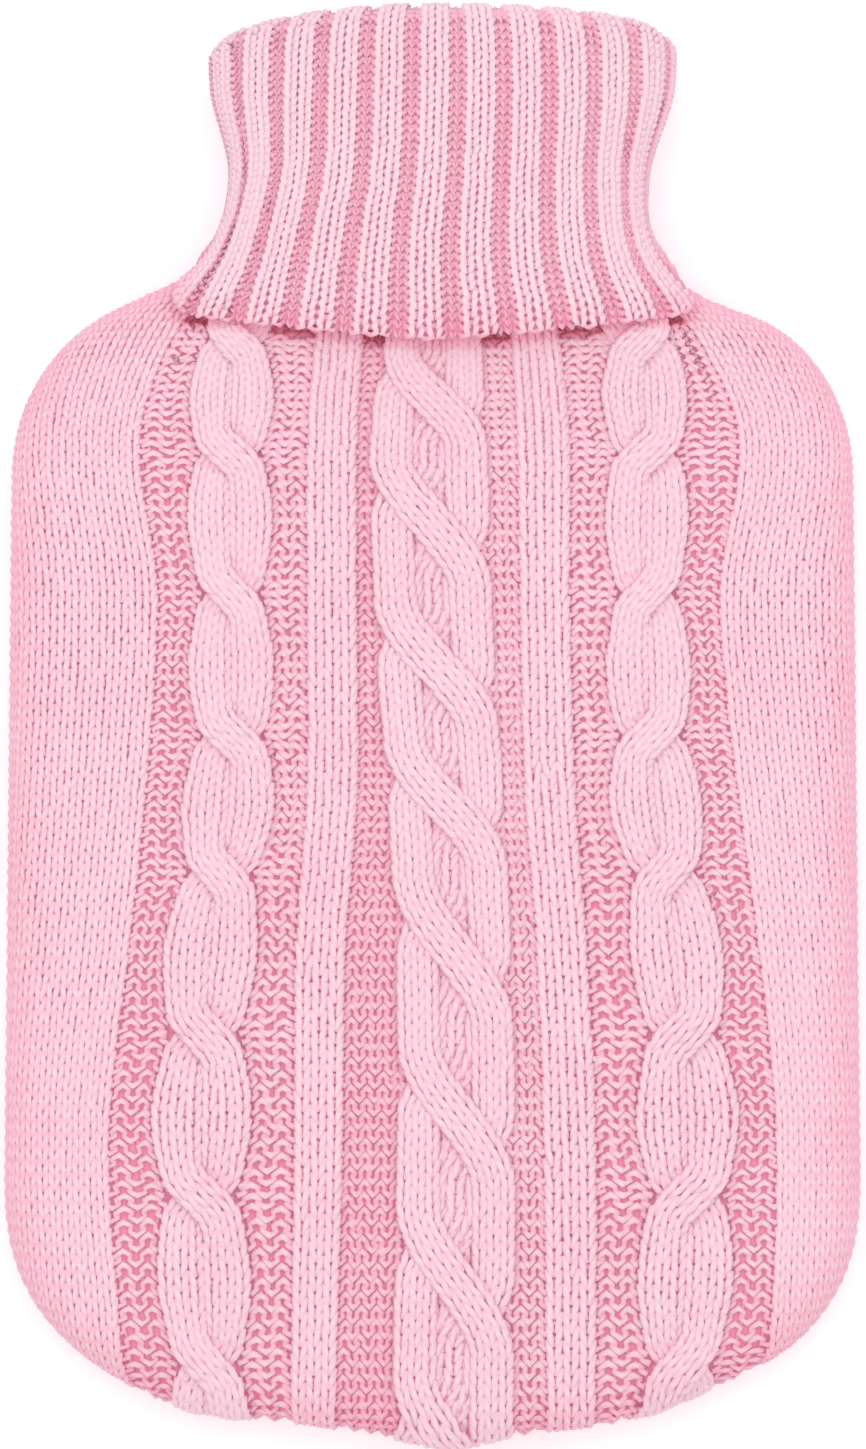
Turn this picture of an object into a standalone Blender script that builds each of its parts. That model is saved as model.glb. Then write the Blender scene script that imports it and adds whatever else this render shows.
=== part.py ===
"""Cable-knit cover for a hot water bottle, lying on its back with its folded rib collar towards +Y.

Three pieces as a knitter makes them: a front panel with raised cables, a plain back panel, and a ribbed
collar that stands up from the neck and folds over to the outside. Metres, +Z up, origin under the middle.
"""

import math

import bmesh
import bpy
import numpy as np

MM = 0.001

# Outline of the body, seen from above.
UPPER_HALF_WIDTH = 102.7 * MM
LOWER_HALF_WIDTH = 104.4 * MM
FLANK_TOP_Y = 58.0 * MM
FLANK_BOTTOM_Y = -110.0 * MM
SHOULDER_RISE = 61.0 * MM
BOTTOM_DROP = 62.4 * MM
UPPER_POWER, LOWER_POWER = 2.3, 2.5
SHOULDER_DIPS = ((-68.0 * MM, 1.2 * MM), (68.0 * MM, 2.2 * MM))
SHOULDER_SPREAD = 14.0 * MM
TIP_X, TIP_DROP, TIP_SPREAD = 4.0 * MM, 2.6 * MM, 15.0 * MM
NECK_Y = 113.0 * MM
NECK_SIDE_TOP_Y = 190.0 * MM
CORNER_START_X, CORNER_X = 70.0 * MM, 88.0 * MM
CORNER_STEPS = 60

# Thickness of the body.
WALL = 3.0 * MM
SEAM_Z = 12.0 * MM
SEAM_GAP = 0.3 * MM
EDGE_ROUND = 8.0 * MM
FRONT_RISE = 11.0 * MM
DOME_RISE, DOME_REACH = 3.0 * MM, 45.0 * MM
NECK_BLEND_Y = 72.0 * MM
BACK_LIFT_Y = 95.0 * MM

# Collar: its mouth is a flattened oval.
COLLAR_DEPTH = 38.0 * MM
LAYER = 3.2 * MM
FOLD_GAP = 1.2 * MM
INNER_LAYER = 2.8 * MM
NECK_POWER = 2.4
RIBS_ROUND, RIB_PHASE = 24, 0.16
RIB_DEPTH = 1.3 * MM
RIM_TOP_Y, RIM_DIP, LEFT_DIP = 175.0 * MM, 5.2 * MM, 0.8 * MM
RIM_CORNER_DIP, RIM_CORNER_POWER = 4.5 * MM, 14
HEM_FRONT_Y, HEM_ARC, HEM_ARC_POWER = 93.6 * MM, 7.2 * MM, 1.1
HEM_SIDE_RISE, HEM_SIDE_POWER, GATHER_POWER = 13.2 * MM, 24, 4
HEM_CLEARANCE, SHOULDER_CLEARANCE, SHOULDER_REACH = 1.0 * MM, 2.4 * MM, 18.0 * MM
COLLAR_COLUMNS = ("y", "middle", "half_width", "gather", "stand_off")
COLLAR_ROWS = (
    (175.0, 2.4, 53.5, 0.0, 0.0),
    (168.0, 2.4, 56.5, 0.0, 0.4),
    (156.0, 2.4, 57.0, 1.0, 0.4),
    (132.0, 1.5, 51.5, 7.5, 0.0),
    (121.0, 0.5, 52.9, 8.5, 0.2),
    (112.6, 0.1, 57.4, 6.0, 0.8),
    (107.8, 0.1, 62.0, 3.0, 1.2),
    (102.6, 0.4, 66.5, 0.5, 1.6),
    (93.6, 0.4, 70.0, 0.0, 1.8),
)

# Where each band of the pattern ends, from left to right, in millimetres from the middle line.
BAND_COLUMNS = (
    "y", "left_side", "left_cable", "left_cable_end", "left_rib", "left_rib_end", "braid",
    "braid_end", "right_rib", "right_rib_end", "right_cable", "right_cable_end", "right_side",
)
BAND_ROWS = (
    (113.0, -47.0, -43.0, -32.5, -25.5, -15.5, -10.5, 10.5, 15.5, 25.5, 32.5, 43.0, 47.0),
    (95.7, -61.5, -56.0, -37.7, -28.0, -16.4, -10.5, 11.0, 18.6, 30.0, 39.9, 59.0, 62.5),
    (78.7, -69.2, -58.6, -38.4, -29.7, -17.8, -13.5, 12.0, 20.0, 32.4, 40.9, 61.5, 72.1),
    (30.2, -66.6, -58.6, -38.9, -30.2, -18.3, -13.5, 13.7, 21.2, 33.1, 42.1, 61.5, 69.5),
    (-18.3, -69.7, -60.3, -38.2, -30.4, -18.3, -10.1, 16.4, 22.4, 34.6, 42.8, 64.9, 74.3),
    (-52.3, -73.4, -64.6, -42.3, -32.9, -21.0, -8.1, 18.3, 25.1, 37.0, 47.7, 69.7, 78.9),
    (-93.5, -78.2, -67.8, -43.8, -33.3, -21.7, -7.9, 19.3, 26.6, 39.2, 49.3, 73.8, 83.1),
    (-163.8, -74.6, -64.2, -43.8, -34.1, -23.6, -9.1, 18.8, 27.8, 39.4, 49.6, 70.2, 81.4),
)

# Heights of the cable crossings, bottom first; they are all twelve courses apart.
CROSSING_Y = tuple(MM * y for y in (-154.5, -113.7, -74.4, -35.5, -2.5, 32.0, 66.0, 92.6))
COURSES_PER_CROSSING = 12
BRAID_RIGHT_COURSE, BRAID_LEFT_COURSE = 3.5, 8.5
CABLE_HALF_TURN, BRAID_HALF_TURN = 2.3, 2.6
CABLE_WAIST = 0.26
SIDE_LIFT, RIB_LIFT = 0.8 * MM, 1.8 * MM
CABLE_LIFT, CABLE_OVER, CABLE_UNDER = 3.0 * MM, 1.6 * MM, -1.6 * MM
RELIEF_TOP_Y = 108.0 * MM
EDGE_STEP = 1.2 * MM

# Grid of the panels: shares of the way in from the edge, and across each band.
SIDE_SHARES = (0.0, 0.02, 0.07, 0.15, 0.26, 0.6, 1.0)
CABLE_SHARES = (0.0, 0.07, 0.25, 0.42, 0.58, 0.75, 0.93, 1.0)
BRAID_SHARES = (0.0, 0.05, 0.16, 0.28, 0.41, 0.5, 0.59, 0.72, 0.84, 0.95, 1.0)
BOTTOM_SHARES = (0.0, 0.009, 0.034, 0.071, 0.123, 0.2, 0.28, 0.37, 0.46, 0.55, 0.65, 0.76, 0.88, 1.0)
FLANK_ROWS = 41
BACK_SHARES = (0.0, 0.006, 0.022, 0.044, 0.08, 0.2, 0.35, 0.5, 0.65, 0.8, 0.92, 0.956, 0.978, 0.994, 1.0)

FRONT_PINK = (0.90, 0.52, 0.62, 1.0)
BACK_PINK = (0.90, 0.52, 0.62, 1.0)
COLLAR_PINK = (0.87, 0.48, 0.58, 1.0)
KNIT_ROUGHNESS = 0.9


def eased(low, high, value):
    """0 below low, 1 above high, and a soft ramp between them."""
    share = np.clip((value - low) / (high - low), 0.0, 1.0)
    return share * share * (3.0 - 2.0 * share)


def column(names, rows, name):
    """One named column of a table whose first column is a height, as rising heights and their values."""
    table = np.array(rows)[np.argsort([row[0] for row in rows])]
    return table[:, 0] * MM, table[:, names.index(name)] * MM


def flowing(heights, values, at):
    """A smooth curve through a column's values, read at any height."""
    slopes = np.gradient(values, heights)
    at = np.clip(at, heights[0], heights[-1])
    low = np.clip(np.searchsorted(heights, at) - 1, 0, len(heights) - 2)
    span = heights[low + 1] - heights[low]
    t = (at - heights[low]) / span
    start = values[low] * (1 + 2 * t) * (1 - t) ** 2 + slopes[low] * span * t * (1 - t) ** 2
    end = values[low + 1] * t * t * (3 - 2 * t) + slopes[low + 1] * span * t * t * (t - 1)
    return start + end


# ---------------------------------------------------------------- outline


def quarter(half_width, reach, power, turn):
    """A squarish quarter oval, from its side at turn 0 to its end at a right angle."""
    across = half_width * np.abs(np.cos(turn)) ** (2.0 / power)
    along = reach * np.abs(np.sin(turn)) ** (2.0 / power)
    return across, along


def right_edge():
    """The right half of the outline as x and y, from the bottom middle up past the neck."""
    turn = np.linspace(0.0, math.pi / 2.0, CORNER_STEPS)
    low_x, low_y = quarter(LOWER_HALF_WIDTH, BOTTOM_DROP, LOWER_POWER, turn[::-1])
    high_x, high_y = quarter(UPPER_HALF_WIDTH, SHOULDER_RISE, UPPER_POWER, turn)
    below_neck = FLANK_TOP_Y + high_y < NECK_Y
    neck_x = np.interp(NECK_Y - FLANK_TOP_Y, high_y, high_x)
    x = np.concatenate((low_x, high_x[below_neck], (neck_x, neck_x)))
    y = np.concatenate((
        FLANK_BOTTOM_Y - low_y, FLANK_TOP_Y + high_y[below_neck], (NECK_Y, NECK_SIDE_TOP_Y),
    ))
    return x, y


def full_edge():
    """The whole outline, from the left of the neck round the bottom to the right of the neck."""
    x, y = right_edge()
    x = np.concatenate((-x[::-1], x[1:]))
    y = np.concatenate((y[::-1], y[1:]))
    y = y - TIP_DROP * np.exp(-((x - TIP_X) / TIP_SPREAD) ** 2) * (y < 0.0)
    for dip_x, dip in SHOULDER_DIPS:
        y = y - dip * np.exp(-((x - dip_x) / SHOULDER_SPREAD) ** 2) * (y > 0.0)
    return np.column_stack((x, y))


EDGE = full_edge()
MIDDLE = len(EDGE) // 2
LEFT_EDGE, RIGHT_EDGE = EDGE[MIDDLE::-1], EDGE[MIDDLE:]
BOTTOM_EDGE = EDGE[MIDDLE - CORNER_STEPS + 1:MIDDLE + CORNER_STEPS]


def side_x(edge, y):
    """Where one side of the outline passes a height."""
    return np.interp(y, edge[:, 1], edge[:, 0])


def bottom_y(x):
    """How low the outline runs under a place on the bottom."""
    return np.interp(x, BOTTOM_EDGE[:, 0], BOTTOM_EDGE[:, 1])


def edge_distance(points):
    """How far each (x, y) lies inside the outline, and the way out, as unit vectors."""
    start, run = EDGE[:-1], np.diff(EDGE, axis=0)
    share = ((points[:, None] - start) * run).sum(2) / (run ** 2).sum(1)
    foot = start + np.clip(share, 0.0, 1.0)[..., None] * run
    away = foot - points[:, None]
    gap = np.linalg.norm(away, axis=2)
    nearest = gap.argmin(1)
    row = np.arange(len(points))
    distance = gap[row, nearest]
    outward = away[row, nearest] / np.maximum(distance, 1e-9)[:, None]
    tangent = run[nearest] / np.linalg.norm(run[nearest], axis=1)[:, None]
    on_edge = distance < 1e-7
    outward[on_edge] = np.column_stack((tangent[:, 1], -tangent[:, 0]))[on_edge]
    return distance, outward


# ---------------------------------------------------------------- pillow shape


NECK_HALF_WIDTH = RIGHT_EDGE[-1, 0]
COLLAR_Z = COLLAR_DEPTH / 2.0
NECK_HALF_DEPTH = COLLAR_Z - LAYER - FOLD_GAP


def seam_z(y):
    """Height of the side seam, which climbs to the middle of the neck."""
    return SEAM_Z + (COLLAR_Z - SEAM_Z) * eased(NECK_BLEND_Y, NECK_Y, y)


def rolled(distance):
    """Rise of the cloth as it rolls over the edge of the body, from 0 to 1."""
    short = 1.0 - np.minimum(distance / EDGE_ROUND, 1.0)
    return np.sqrt(1.0 - short ** 2)


def oval(distance):
    """Rise of the cloth across the neck, from 0 at its side to 1 in the middle."""
    short = np.clip(1.0 - distance / NECK_HALF_WIDTH, 0.0, 1.0)
    return (1.0 - short ** NECK_POWER) ** (1.0 / NECK_POWER)


def front_z(distance, y):
    """Ground level of the front panel's outer face."""
    neck = eased(NECK_BLEND_Y, NECK_Y, y)
    dome = 1.0 - (1.0 - np.minimum(distance / DOME_REACH, 1.0)) ** 2
    body = FRONT_RISE * rolled(distance) + DOME_RISE * dome
    return seam_z(y) + (1.0 - neck) * body + neck * NECK_HALF_DEPTH * oval(distance)


def back_z(distance, y):
    """Level of the back panel's outer face, which is flat but for the lift over the folded collar."""
    neck = eased(NECK_BLEND_Y, NECK_Y, y)
    floor = (COLLAR_Z - NECK_HALF_DEPTH) * eased(NECK_BLEND_Y, BACK_LIFT_Y, y)
    rise = (1.0 - neck) * rolled(distance) + neck * oval(distance)
    return seam_z(y) - (seam_z(y) - floor) * rise


# ---------------------------------------------------------------- pattern of the front


def band_edge(name, y):
    """Where one band of the pattern begins or ends at a height."""
    return flowing(*column(BAND_COLUMNS, BAND_ROWS, name), y)


def course_at(y):
    """Course of knitting at a height, counted from the lowest crossing."""
    courses = np.arange(len(CROSSING_Y)) * COURSES_PER_CROSSING
    first = (CROSSING_Y[1] - CROSSING_Y[0]) / COURSES_PER_CROSSING
    low = (y - CROSSING_Y[0]) / first
    return np.where(y < CROSSING_Y[0], low, np.interp(y, CROSSING_Y, courses))


def cable_strands(course):
    """Both strands of a two-strand cable: place from -1 to 1 across it, and lift above its bed."""
    beat = np.round(course / COURSES_PER_CROSSING)
    into = course - beat * COURSES_PER_CROSSING
    passed = eased(-CABLE_HALF_TURN, CABLE_HALF_TURN, into)
    ahead = 1.0 - 2.0 * passed
    crossing = 1.0 - eased(0.0, 2.0 * CABLE_HALF_TURN, np.abs(into))
    over = (ahead, CABLE_LIFT + CABLE_OVER * crossing)
    under = (-ahead, CABLE_LIFT + CABLE_UNDER * crossing)
    return over, under


def braid_strands(course):
    """The three strands of the braid, each with its place from -1 to 1 across it and its lift.

    A strand starts on the right and steps to the left twice, over its neighbour, then comes back twice, under it.
    """
    cycle = 3 * COURSES_PER_CROSSING
    turns = (
        (BRAID_RIGHT_COURSE, -1.0, CABLE_OVER),
        (BRAID_LEFT_COURSE, -1.0, CABLE_OVER),
        (BRAID_LEFT_COURSE + COURSES_PER_CROSSING, 1.0, CABLE_UNDER),
        (BRAID_RIGHT_COURSE + 2 * COURSES_PER_CROSSING, 1.0, CABLE_UNDER),
    )
    strands = []
    for number in range(3):
        own = (course + number * COURSES_PER_CROSSING) % cycle
        place = np.ones_like(own)
        lift = np.full_like(own, CABLE_LIFT)
        for at, step, height in turns:
            into = own - at
            place = place + step * eased(-BRAID_HALF_TURN, BRAID_HALF_TURN, into)
            lift = lift + height * (1.0 - eased(0.0, 1.5 * BRAID_HALF_TURN, np.abs(into)))
        strands.append((place, lift))
    return strands


def strand_top(offset, half_width, lift):
    """Height of one strand's rounded top at a distance from its middle."""
    share = np.clip(np.abs(offset) / half_width, 0.0, 1.0)
    return lift * (1.0 - share ** 4) ** 0.5


def cable_relief(x, y, begin, end, mirrored):
    """Height of a two-strand cable between its two edges."""
    middle, half = (begin + end) / 2.0, (end - begin) / 2.0
    strands = cable_strands(course_at(y))
    side = -1.0 if mirrored else 1.0
    tops = [strand_top(x - middle - side * place * half / 2.0, half / 2.0 * 1.05, lift)
            for place, lift in strands]
    return np.maximum(*tops)


def braid_relief(x, y, begin, end):
    """Height of the three-strand braid between its two edges."""
    middle, third = (begin + end) / 2.0, (end - begin) / 3.0
    tops = [strand_top(x - middle - place * third, third / 2.0 * 1.1, lift)
            for place, lift in braid_strands(course_at(y))]
    return np.maximum.reduce(tops)


def plateau(x, begin, end, height):
    """A flat-topped band with short slopes inside its edges."""
    inside = np.minimum(x - begin, end - x)
    return height * np.clip(inside / EDGE_STEP, 0.0, 1.0)


def front_relief(x, y):
    """How far the knitting stands above the panel's ground level."""
    at = {name: band_edge(name, y) for name in BAND_COLUMNS[1:]}
    outside = np.maximum(at["left_side"] + EDGE_STEP - x, x - at["right_side"] + EDGE_STEP)
    height = SIDE_LIFT * np.clip(outside / EDGE_STEP, 0.0, 1.0)
    for rib in ("left_rib", "right_rib"):
        height = np.maximum(height, plateau(x, at[rib], at[rib + "_end"], RIB_LIFT))
    for cable, mirrored in (("left_cable", False), ("right_cable", True)):
        begin, end = waisted(at[cable], at[cable + "_end"], y)
        height = np.maximum(height, cable_relief(x, y, begin, end, mirrored))
    height = np.maximum(height, braid_relief(x, y, at["braid"], at["braid_end"]))
    return height * (1.0 - eased(BACK_LIFT_Y, RELIEF_TOP_Y, y))


def waisted(begin, end, y):
    """A cable's edges, drawn in where its strands cross."""
    course = course_at(y)
    into = course - np.round(course / COURSES_PER_CROSSING) * COURSES_PER_CROSSING
    draw = CABLE_WAIST * (1.0 - eased(0.0, 1.6 * CABLE_HALF_TURN, np.abs(into)))
    middle, half = (begin + end) / 2.0, (end - begin) / 2.0
    return middle - half * (1.0 - draw), middle + half * (1.0 - draw)


# ---------------------------------------------------------------- panels


def spread(begin, end, shares):
    """Places between two edges."""
    return [begin + (end - begin) * share for share in shares]


def front_columns(y):
    """X of every grid column of the front panel at one height."""
    at = {name: float(band_edge(name, y)) for name in BAND_COLUMNS[1:]}
    left, right = side_x(LEFT_EDGE, y), side_x(RIGHT_EDGE, y)
    rib_shares = (0.0, 0.12, 0.88, 1.0)
    xs = spread(left, at["left_side"], SIDE_SHARES)
    xs += [at["left_side"] + EDGE_STEP]
    xs += spread(*waisted(at["left_cable"], at["left_cable_end"], y), CABLE_SHARES)
    xs += spread(at["left_rib"], at["left_rib_end"], rib_shares)
    xs += spread(at["braid"], at["braid_end"], BRAID_SHARES)
    xs += spread(at["right_rib"], at["right_rib_end"], rib_shares)
    xs += spread(*waisted(at["right_cable"], at["right_cable_end"], y), CABLE_SHARES)
    xs += [at["right_side"] - EDGE_STEP]
    xs += spread(right, at["right_side"], SIDE_SHARES)[::-1]
    return np.array(xs)


def back_columns(y):
    """X of every grid column of the back panel at one height."""
    return np.array(spread(side_x(LEFT_EDGE, y), side_x(RIGHT_EDGE, y), BACK_SHARES))


def corner_row(top_x):
    """The grid's lowest row, on the outline: its outer columns are squeezed in to end at the corners."""
    reach = np.abs(top_x[[0, -1]]).mean() - CORNER_START_X
    over = np.maximum(np.abs(top_x) - CORNER_START_X, 0.0)
    x = top_x - np.sign(top_x) * over * (1.0 - (CORNER_X - CORNER_START_X) / reach)
    return np.column_stack((x, bottom_y(x)))


def rounded_base(columns):
    """Rows of (x, y) that fill the round bottom of a panel, lowest first, up to where the flanks begin."""
    top_x = columns(FLANK_BOTTOM_Y)
    base = corner_row(top_x)
    top = np.column_stack((top_x, np.full(len(top_x), FLANK_BOTTOM_Y)))
    s = ((top_x - top_x[0]) / (top_x[-1] - top_x[0]))[:, None]
    rows = []
    for t in BOTTOM_SHARES:
        across = (1.0 - t) * base + t * top
        sides = []
        for edge, corner in ((LEFT_EDGE, base[0]), (RIGHT_EDGE, base[-1])):
            y = corner[1] + (FLANK_BOTTOM_Y - corner[1]) * t
            sides.append(np.array((side_x(edge, y), y)))
        bulge = (1.0 - s) * (sides[0] - across[0]) + s * (sides[1] - across[-1])
        rows.append(across + bulge)
    return rows


def panel_rows(columns):
    """Grid of (x, y) points of a panel, as an array of rows from the bottom to the neck."""
    rows = rounded_base(columns)
    for y in np.linspace(FLANK_BOTTOM_Y, NECK_Y, FLANK_ROWS + 1)[1:]:
        xs = columns(y)
        rows.append(np.column_stack((xs, np.full(len(xs), y))))
    return np.array(rows)


def outer_and_inner(grid, level, up, relief):
    """Outer points of a panel, and the same points set in by the wall."""
    flat = grid.reshape(-1, 2)
    distance, outward = edge_distance(flat)
    rim = np.zeros(grid.shape[:2], bool)
    rim[0] = rim[:, 0] = rim[:, -1] = True
    distance[rim.ravel()] = 0.0
    step = 0.2 * MM
    slope = (level(distance + step, flat[:, 1]) - level(distance, flat[:, 1])) / step * up
    slope[rim.ravel()] = 1e6
    steep = 1.0 / np.sqrt(1.0 + slope ** 2)
    z = level(distance, flat[:, 1]) + up * SEAM_GAP / 2.0 * np.where(rim.ravel(), 1.0, 0.0)
    ground = np.column_stack((flat, z))
    normal = np.column_stack((outward * (slope * steep)[:, None], up * steep))
    inner = (ground - WALL * normal).reshape(grid.shape[:2] + (3,))
    ground[:, 2] += relief(flat[:, 0], flat[:, 1]) * np.where(rim.ravel(), 0.0, 1.0)
    outer = ground.reshape(grid.shape[:2] + (3,))
    inner[-1, :, 1] = NECK_Y
    return outer, inner


def border(rows, columns, step):
    """Row and column numbers round a grid, anticlockwise from its first corner."""
    bottom = [(0, c) for c in range(0, columns - 1, step)]
    right = [(r, columns - 1) for r in range(0, rows - 1, step)]
    top = [(rows - 1, c) for c in range(columns - 1, 0, -step)]
    left = [(r, 0) for r in range(rows - 1, 0, -step)]
    return bottom + right + top + left


def add_sheet(mesh, points, step, upward):
    """Adds one skin of a panel and returns its corner-to-vertex table."""
    rows, columns = points.shape[:2]
    table = {(r, c): mesh.verts.new(points[r, c])
             for r in range(0, rows, step) for c in range(0, columns, step)}
    for r in range(0, rows - step, step):
        for c in range(0, columns - step, step):
            face = [table[r, c], table[r, c + step], table[r + step, c + step], table[r + step, c]]
            mesh.faces.new(face if upward else face[::-1])
    return table


def make_panel(name, grid, level, up, relief, colour):
    """Builds a panel: its outer face on the full grid, its inner face on every second line."""
    outer, inner = outer_and_inner(grid, level, up, relief)
    rows, columns = grid.shape[:2]
    mesh = bmesh.new()
    outside = add_sheet(mesh, outer, 1, up > 0)
    inside = add_sheet(mesh, inner, 2, up < 0)
    fine, coarse = border(rows, columns, 1), border(rows, columns, 2)
    for number, here in enumerate(coarse):
        ahead = coarse[(number + 1) % len(coarse)]
        a, b, c = (outside[fine[(2 * number + k) % len(fine)]] for k in range(3))
        for face in ((a, inside[here], b), (b, inside[here], inside[ahead]), (b, inside[ahead], c)):
            mesh.faces.new(face if up > 0 else face[::-1])
    return finish(name, mesh, colour)


# ---------------------------------------------------------------- collar


def collar_value(name, y):
    """One measure of the collar at a height."""
    return flowing(*column(COLLAR_COLUMNS, COLLAR_ROWS, name), y)


def ring_turns():
    """Angles round the oval that share its length evenly, four to a rib, with the ribs' heights."""
    turn = np.linspace(0.0, 2.0 * math.pi, 2001)
    x, z = ring_point(turn, collar_value("half_width", RIM_TOP_Y), COLLAR_Z)
    length = np.concatenate(((0.0,), np.cumsum(np.hypot(np.diff(x), np.diff(z)))))
    rib_shares = np.array((-0.30, -0.20, 0.20, 0.30))
    shares = (np.arange(RIBS_ROUND)[:, None] + RIB_PHASE + rib_shares).ravel() / RIBS_ROUND
    turns = np.interp(shares % 1.0 * length[-1], length, turn)
    raised = np.tile((0.0, 1.0, 1.0, 0.0), RIBS_ROUND)
    return turns, raised


def ring_point(turn, half_width, half_depth):
    """Point of a flattened oval, from its middle."""
    power = 2.0 / NECK_POWER
    cos, sin = np.cos(turn), np.sin(turn)
    x = half_width * np.sign(cos) * np.abs(cos) ** power
    z = half_depth * np.sign(sin) * np.abs(sin) ** power
    return x, z


def collar_profile():
    """The folded cloth in section, from the hem up the outside, over the fold and down the inside.

    Each entry is a share of the way from the lower edge to the fold, how far the point lies in from
    the outer face, how far above the fold's base, which lower edge it belongs to, and rib strength.
    """
    inner_face = LAYER + FOLD_GAP + INNER_LAYER
    outer_bend, gap_bend = inner_face / 2.0, FOLD_GAP / 2.0
    entries = [(share, 0.0, 0.0, "hem", 1.0) for share in (0.0, 0.07, 0.2, 0.36, 0.55, 0.78, 1.0)]
    for angle in (0.25, 0.5, 0.75):
        turn = angle * math.pi
        set_in = outer_bend * (1.0 - math.cos(turn))
        entries.append((1.0, set_in, outer_bend * math.sin(turn), "hem", 1.0 - angle))
    entries += [(share, inner_face, 0.0, "neck", 0.0) for share in (1.0, 0.6, 0.25, 0.0)]
    entries += [(share, inner_face - INNER_LAYER, 0.0, "neck", 0.0) for share in (0.0, 0.4, 1.0)]
    entries.append((1.0, LAYER + gap_bend, gap_bend, "hem", 0.0))
    entries += [(share, LAYER, 0.0, "hem", 0.0) for share in (1.0, 0.45, 0.16, 0.0)]
    return entries


def collar_ring(entry, turns, raised):
    """One ring of the collar's points, all at the same place in the folded section."""
    share, set_in, above, lower, rib = entry
    inner_face = LAYER + FOLD_GAP + INNER_LAYER
    side = np.abs(np.cos(turns))
    dip = RIM_DIP + np.where(np.cos(turns) < 0.0, LEFT_DIP, 0.0)
    fold_y = RIM_TOP_Y - dip * side ** 2 - RIM_CORNER_DIP * side ** RIM_CORNER_POWER - inner_face / 2.0
    hem_y = HEM_FRONT_Y + HEM_ARC * side ** HEM_ARC_POWER + HEM_SIDE_RISE * side ** HEM_SIDE_POWER
    low_y = hem_y if lower == "hem" else NECK_Y + SEAM_GAP
    y = low_y + (fold_y - low_y) * share
    depth_in = set_in + RIB_DEPTH * rib * (1.0 - raised)
    half_width = collar_value("half_width", y)
    middle = collar_value("middle", y)
    if lower == "neck":
        near = 1.0 - eased(NECK_Y, NECK_Y + 14.0 * MM, y)
        half_width = half_width * (1.0 - near) + (NECK_HALF_WIDTH + LAYER + FOLD_GAP) * near
        middle = middle * (1.0 - near)
    gather = collar_value("gather", y) if lower == "hem" else 0.0
    x, z = ring_point(turns, half_width + gather - depth_in, COLLAR_Z - depth_in)
    x = x - gather * np.sign(np.cos(turns)) * side ** GATHER_POWER
    z = z + COLLAR_Z
    if lower == "hem":
        front = np.sin(turns) > 0.0
        z = z + np.where(front, collar_value("stand_off", y), 0.0)
        z = clear_of_body(x + middle, y, z, front, max(LAYER - set_in, 0.0))
    return np.column_stack((x + middle, y + above, np.maximum(z, 0.0)))


def clear_of_body(x, y, z, front, outside):
    """Moves the turned-down cloth off the body, above and below, where it would touch it."""
    left, right = side_x(LEFT_EDGE, y), side_x(RIGHT_EDGE, y)
    within = np.minimum(x - left, right - x)
    distance = np.where(within > 0.0, edge_distance(np.column_stack((x, y)))[0], 0.0)
    room = HEM_CLEARANCE + SHOULDER_CLEARANCE * (1.0 - np.minimum(distance / SHOULDER_REACH, 1.0))
    above = front_z(distance, y) + front_relief(x, y) + room + outside
    below = back_z(distance, y) - room - outside
    cleared = np.where(front, np.maximum(z, above), np.minimum(z, below))
    return np.where((within > -SHOULDER_CLEARANCE) & (y < NECK_Y), cleared, z)


def make_collar():
    """The ribbed collar: one tube of cloth, folded over at its mouth."""
    turns, raised = ring_turns()
    rings = [collar_ring(entry, turns, raised) for entry in collar_profile()]
    mesh = bmesh.new()
    table = [[mesh.verts.new(point) for point in ring] for ring in rings]
    around = len(turns)
    for number, ring in enumerate(table):
        following = table[(number + 1) % len(table)]
        for c in range(around):
            ahead = (c + 1) % around
            mesh.faces.new((ring[c], following[c], following[ahead], ring[ahead]))
    bmesh.ops.recalc_face_normals(mesh, faces=mesh.faces)
    return finish("collar", mesh, COLLAR_PINK)


# ---------------------------------------------------------------- objects


def knit_material(name, colour):
    """Matt yarn in one colour."""
    material = bpy.data.materials.new(name)
    material.use_nodes = True
    shader = material.node_tree.nodes["Principled BSDF"]
    shader.inputs["Base Color"].default_value = colour
    shader.inputs["Roughness"].default_value = KNIT_ROUGHNESS
    shader.inputs["Metallic"].default_value = 0.0
    return material


def finish(name, mesh, colour):
    """Turns a bmesh into a named, smooth-shaded object with its own material."""
    bmesh.ops.triangulate(mesh, faces=mesh.faces)
    data = bpy.data.meshes.new(name)
    mesh.to_mesh(data)
    mesh.free()
    data.shade_smooth()
    data.materials.append(knit_material(name + "_yarn", colour))
    thing = bpy.data.objects.new(name, data)
    bpy.context.scene.collection.objects.link(thing)
    return thing


def plain(x, y):
    """No relief: the back is knitted plain."""
    return np.zeros_like(x)


def main():
    """Empties the scene and builds the cover."""
    for thing in list(bpy.data.objects):
        bpy.data.objects.remove(thing, do_unlink=True)
    front_grid = panel_rows(front_columns)
    back_grid = panel_rows(back_columns)
    make_panel("front_panel", front_grid, front_z, 1.0, front_relief, FRONT_PINK)
    make_panel("back_panel", back_grid, back_z, -1.0, plain, BACK_PINK)
    make_collar()


main()
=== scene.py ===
"""Knits the looks of a cable-knit hot water bottle cover round its plain solids.

Every stitch of the front and the collar is a loop of round yarn. The loops are laid out in flat cloth, in
wales across and courses up, and the cloth is then laid over the pillow shape of the body or round the folded
collar. The plain back is one sheet of pressed stitches, and thin closed cloths lie under all of them.
Metres, +Z up, the cover on its back with its collar towards +Y.
"""

import math

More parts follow.
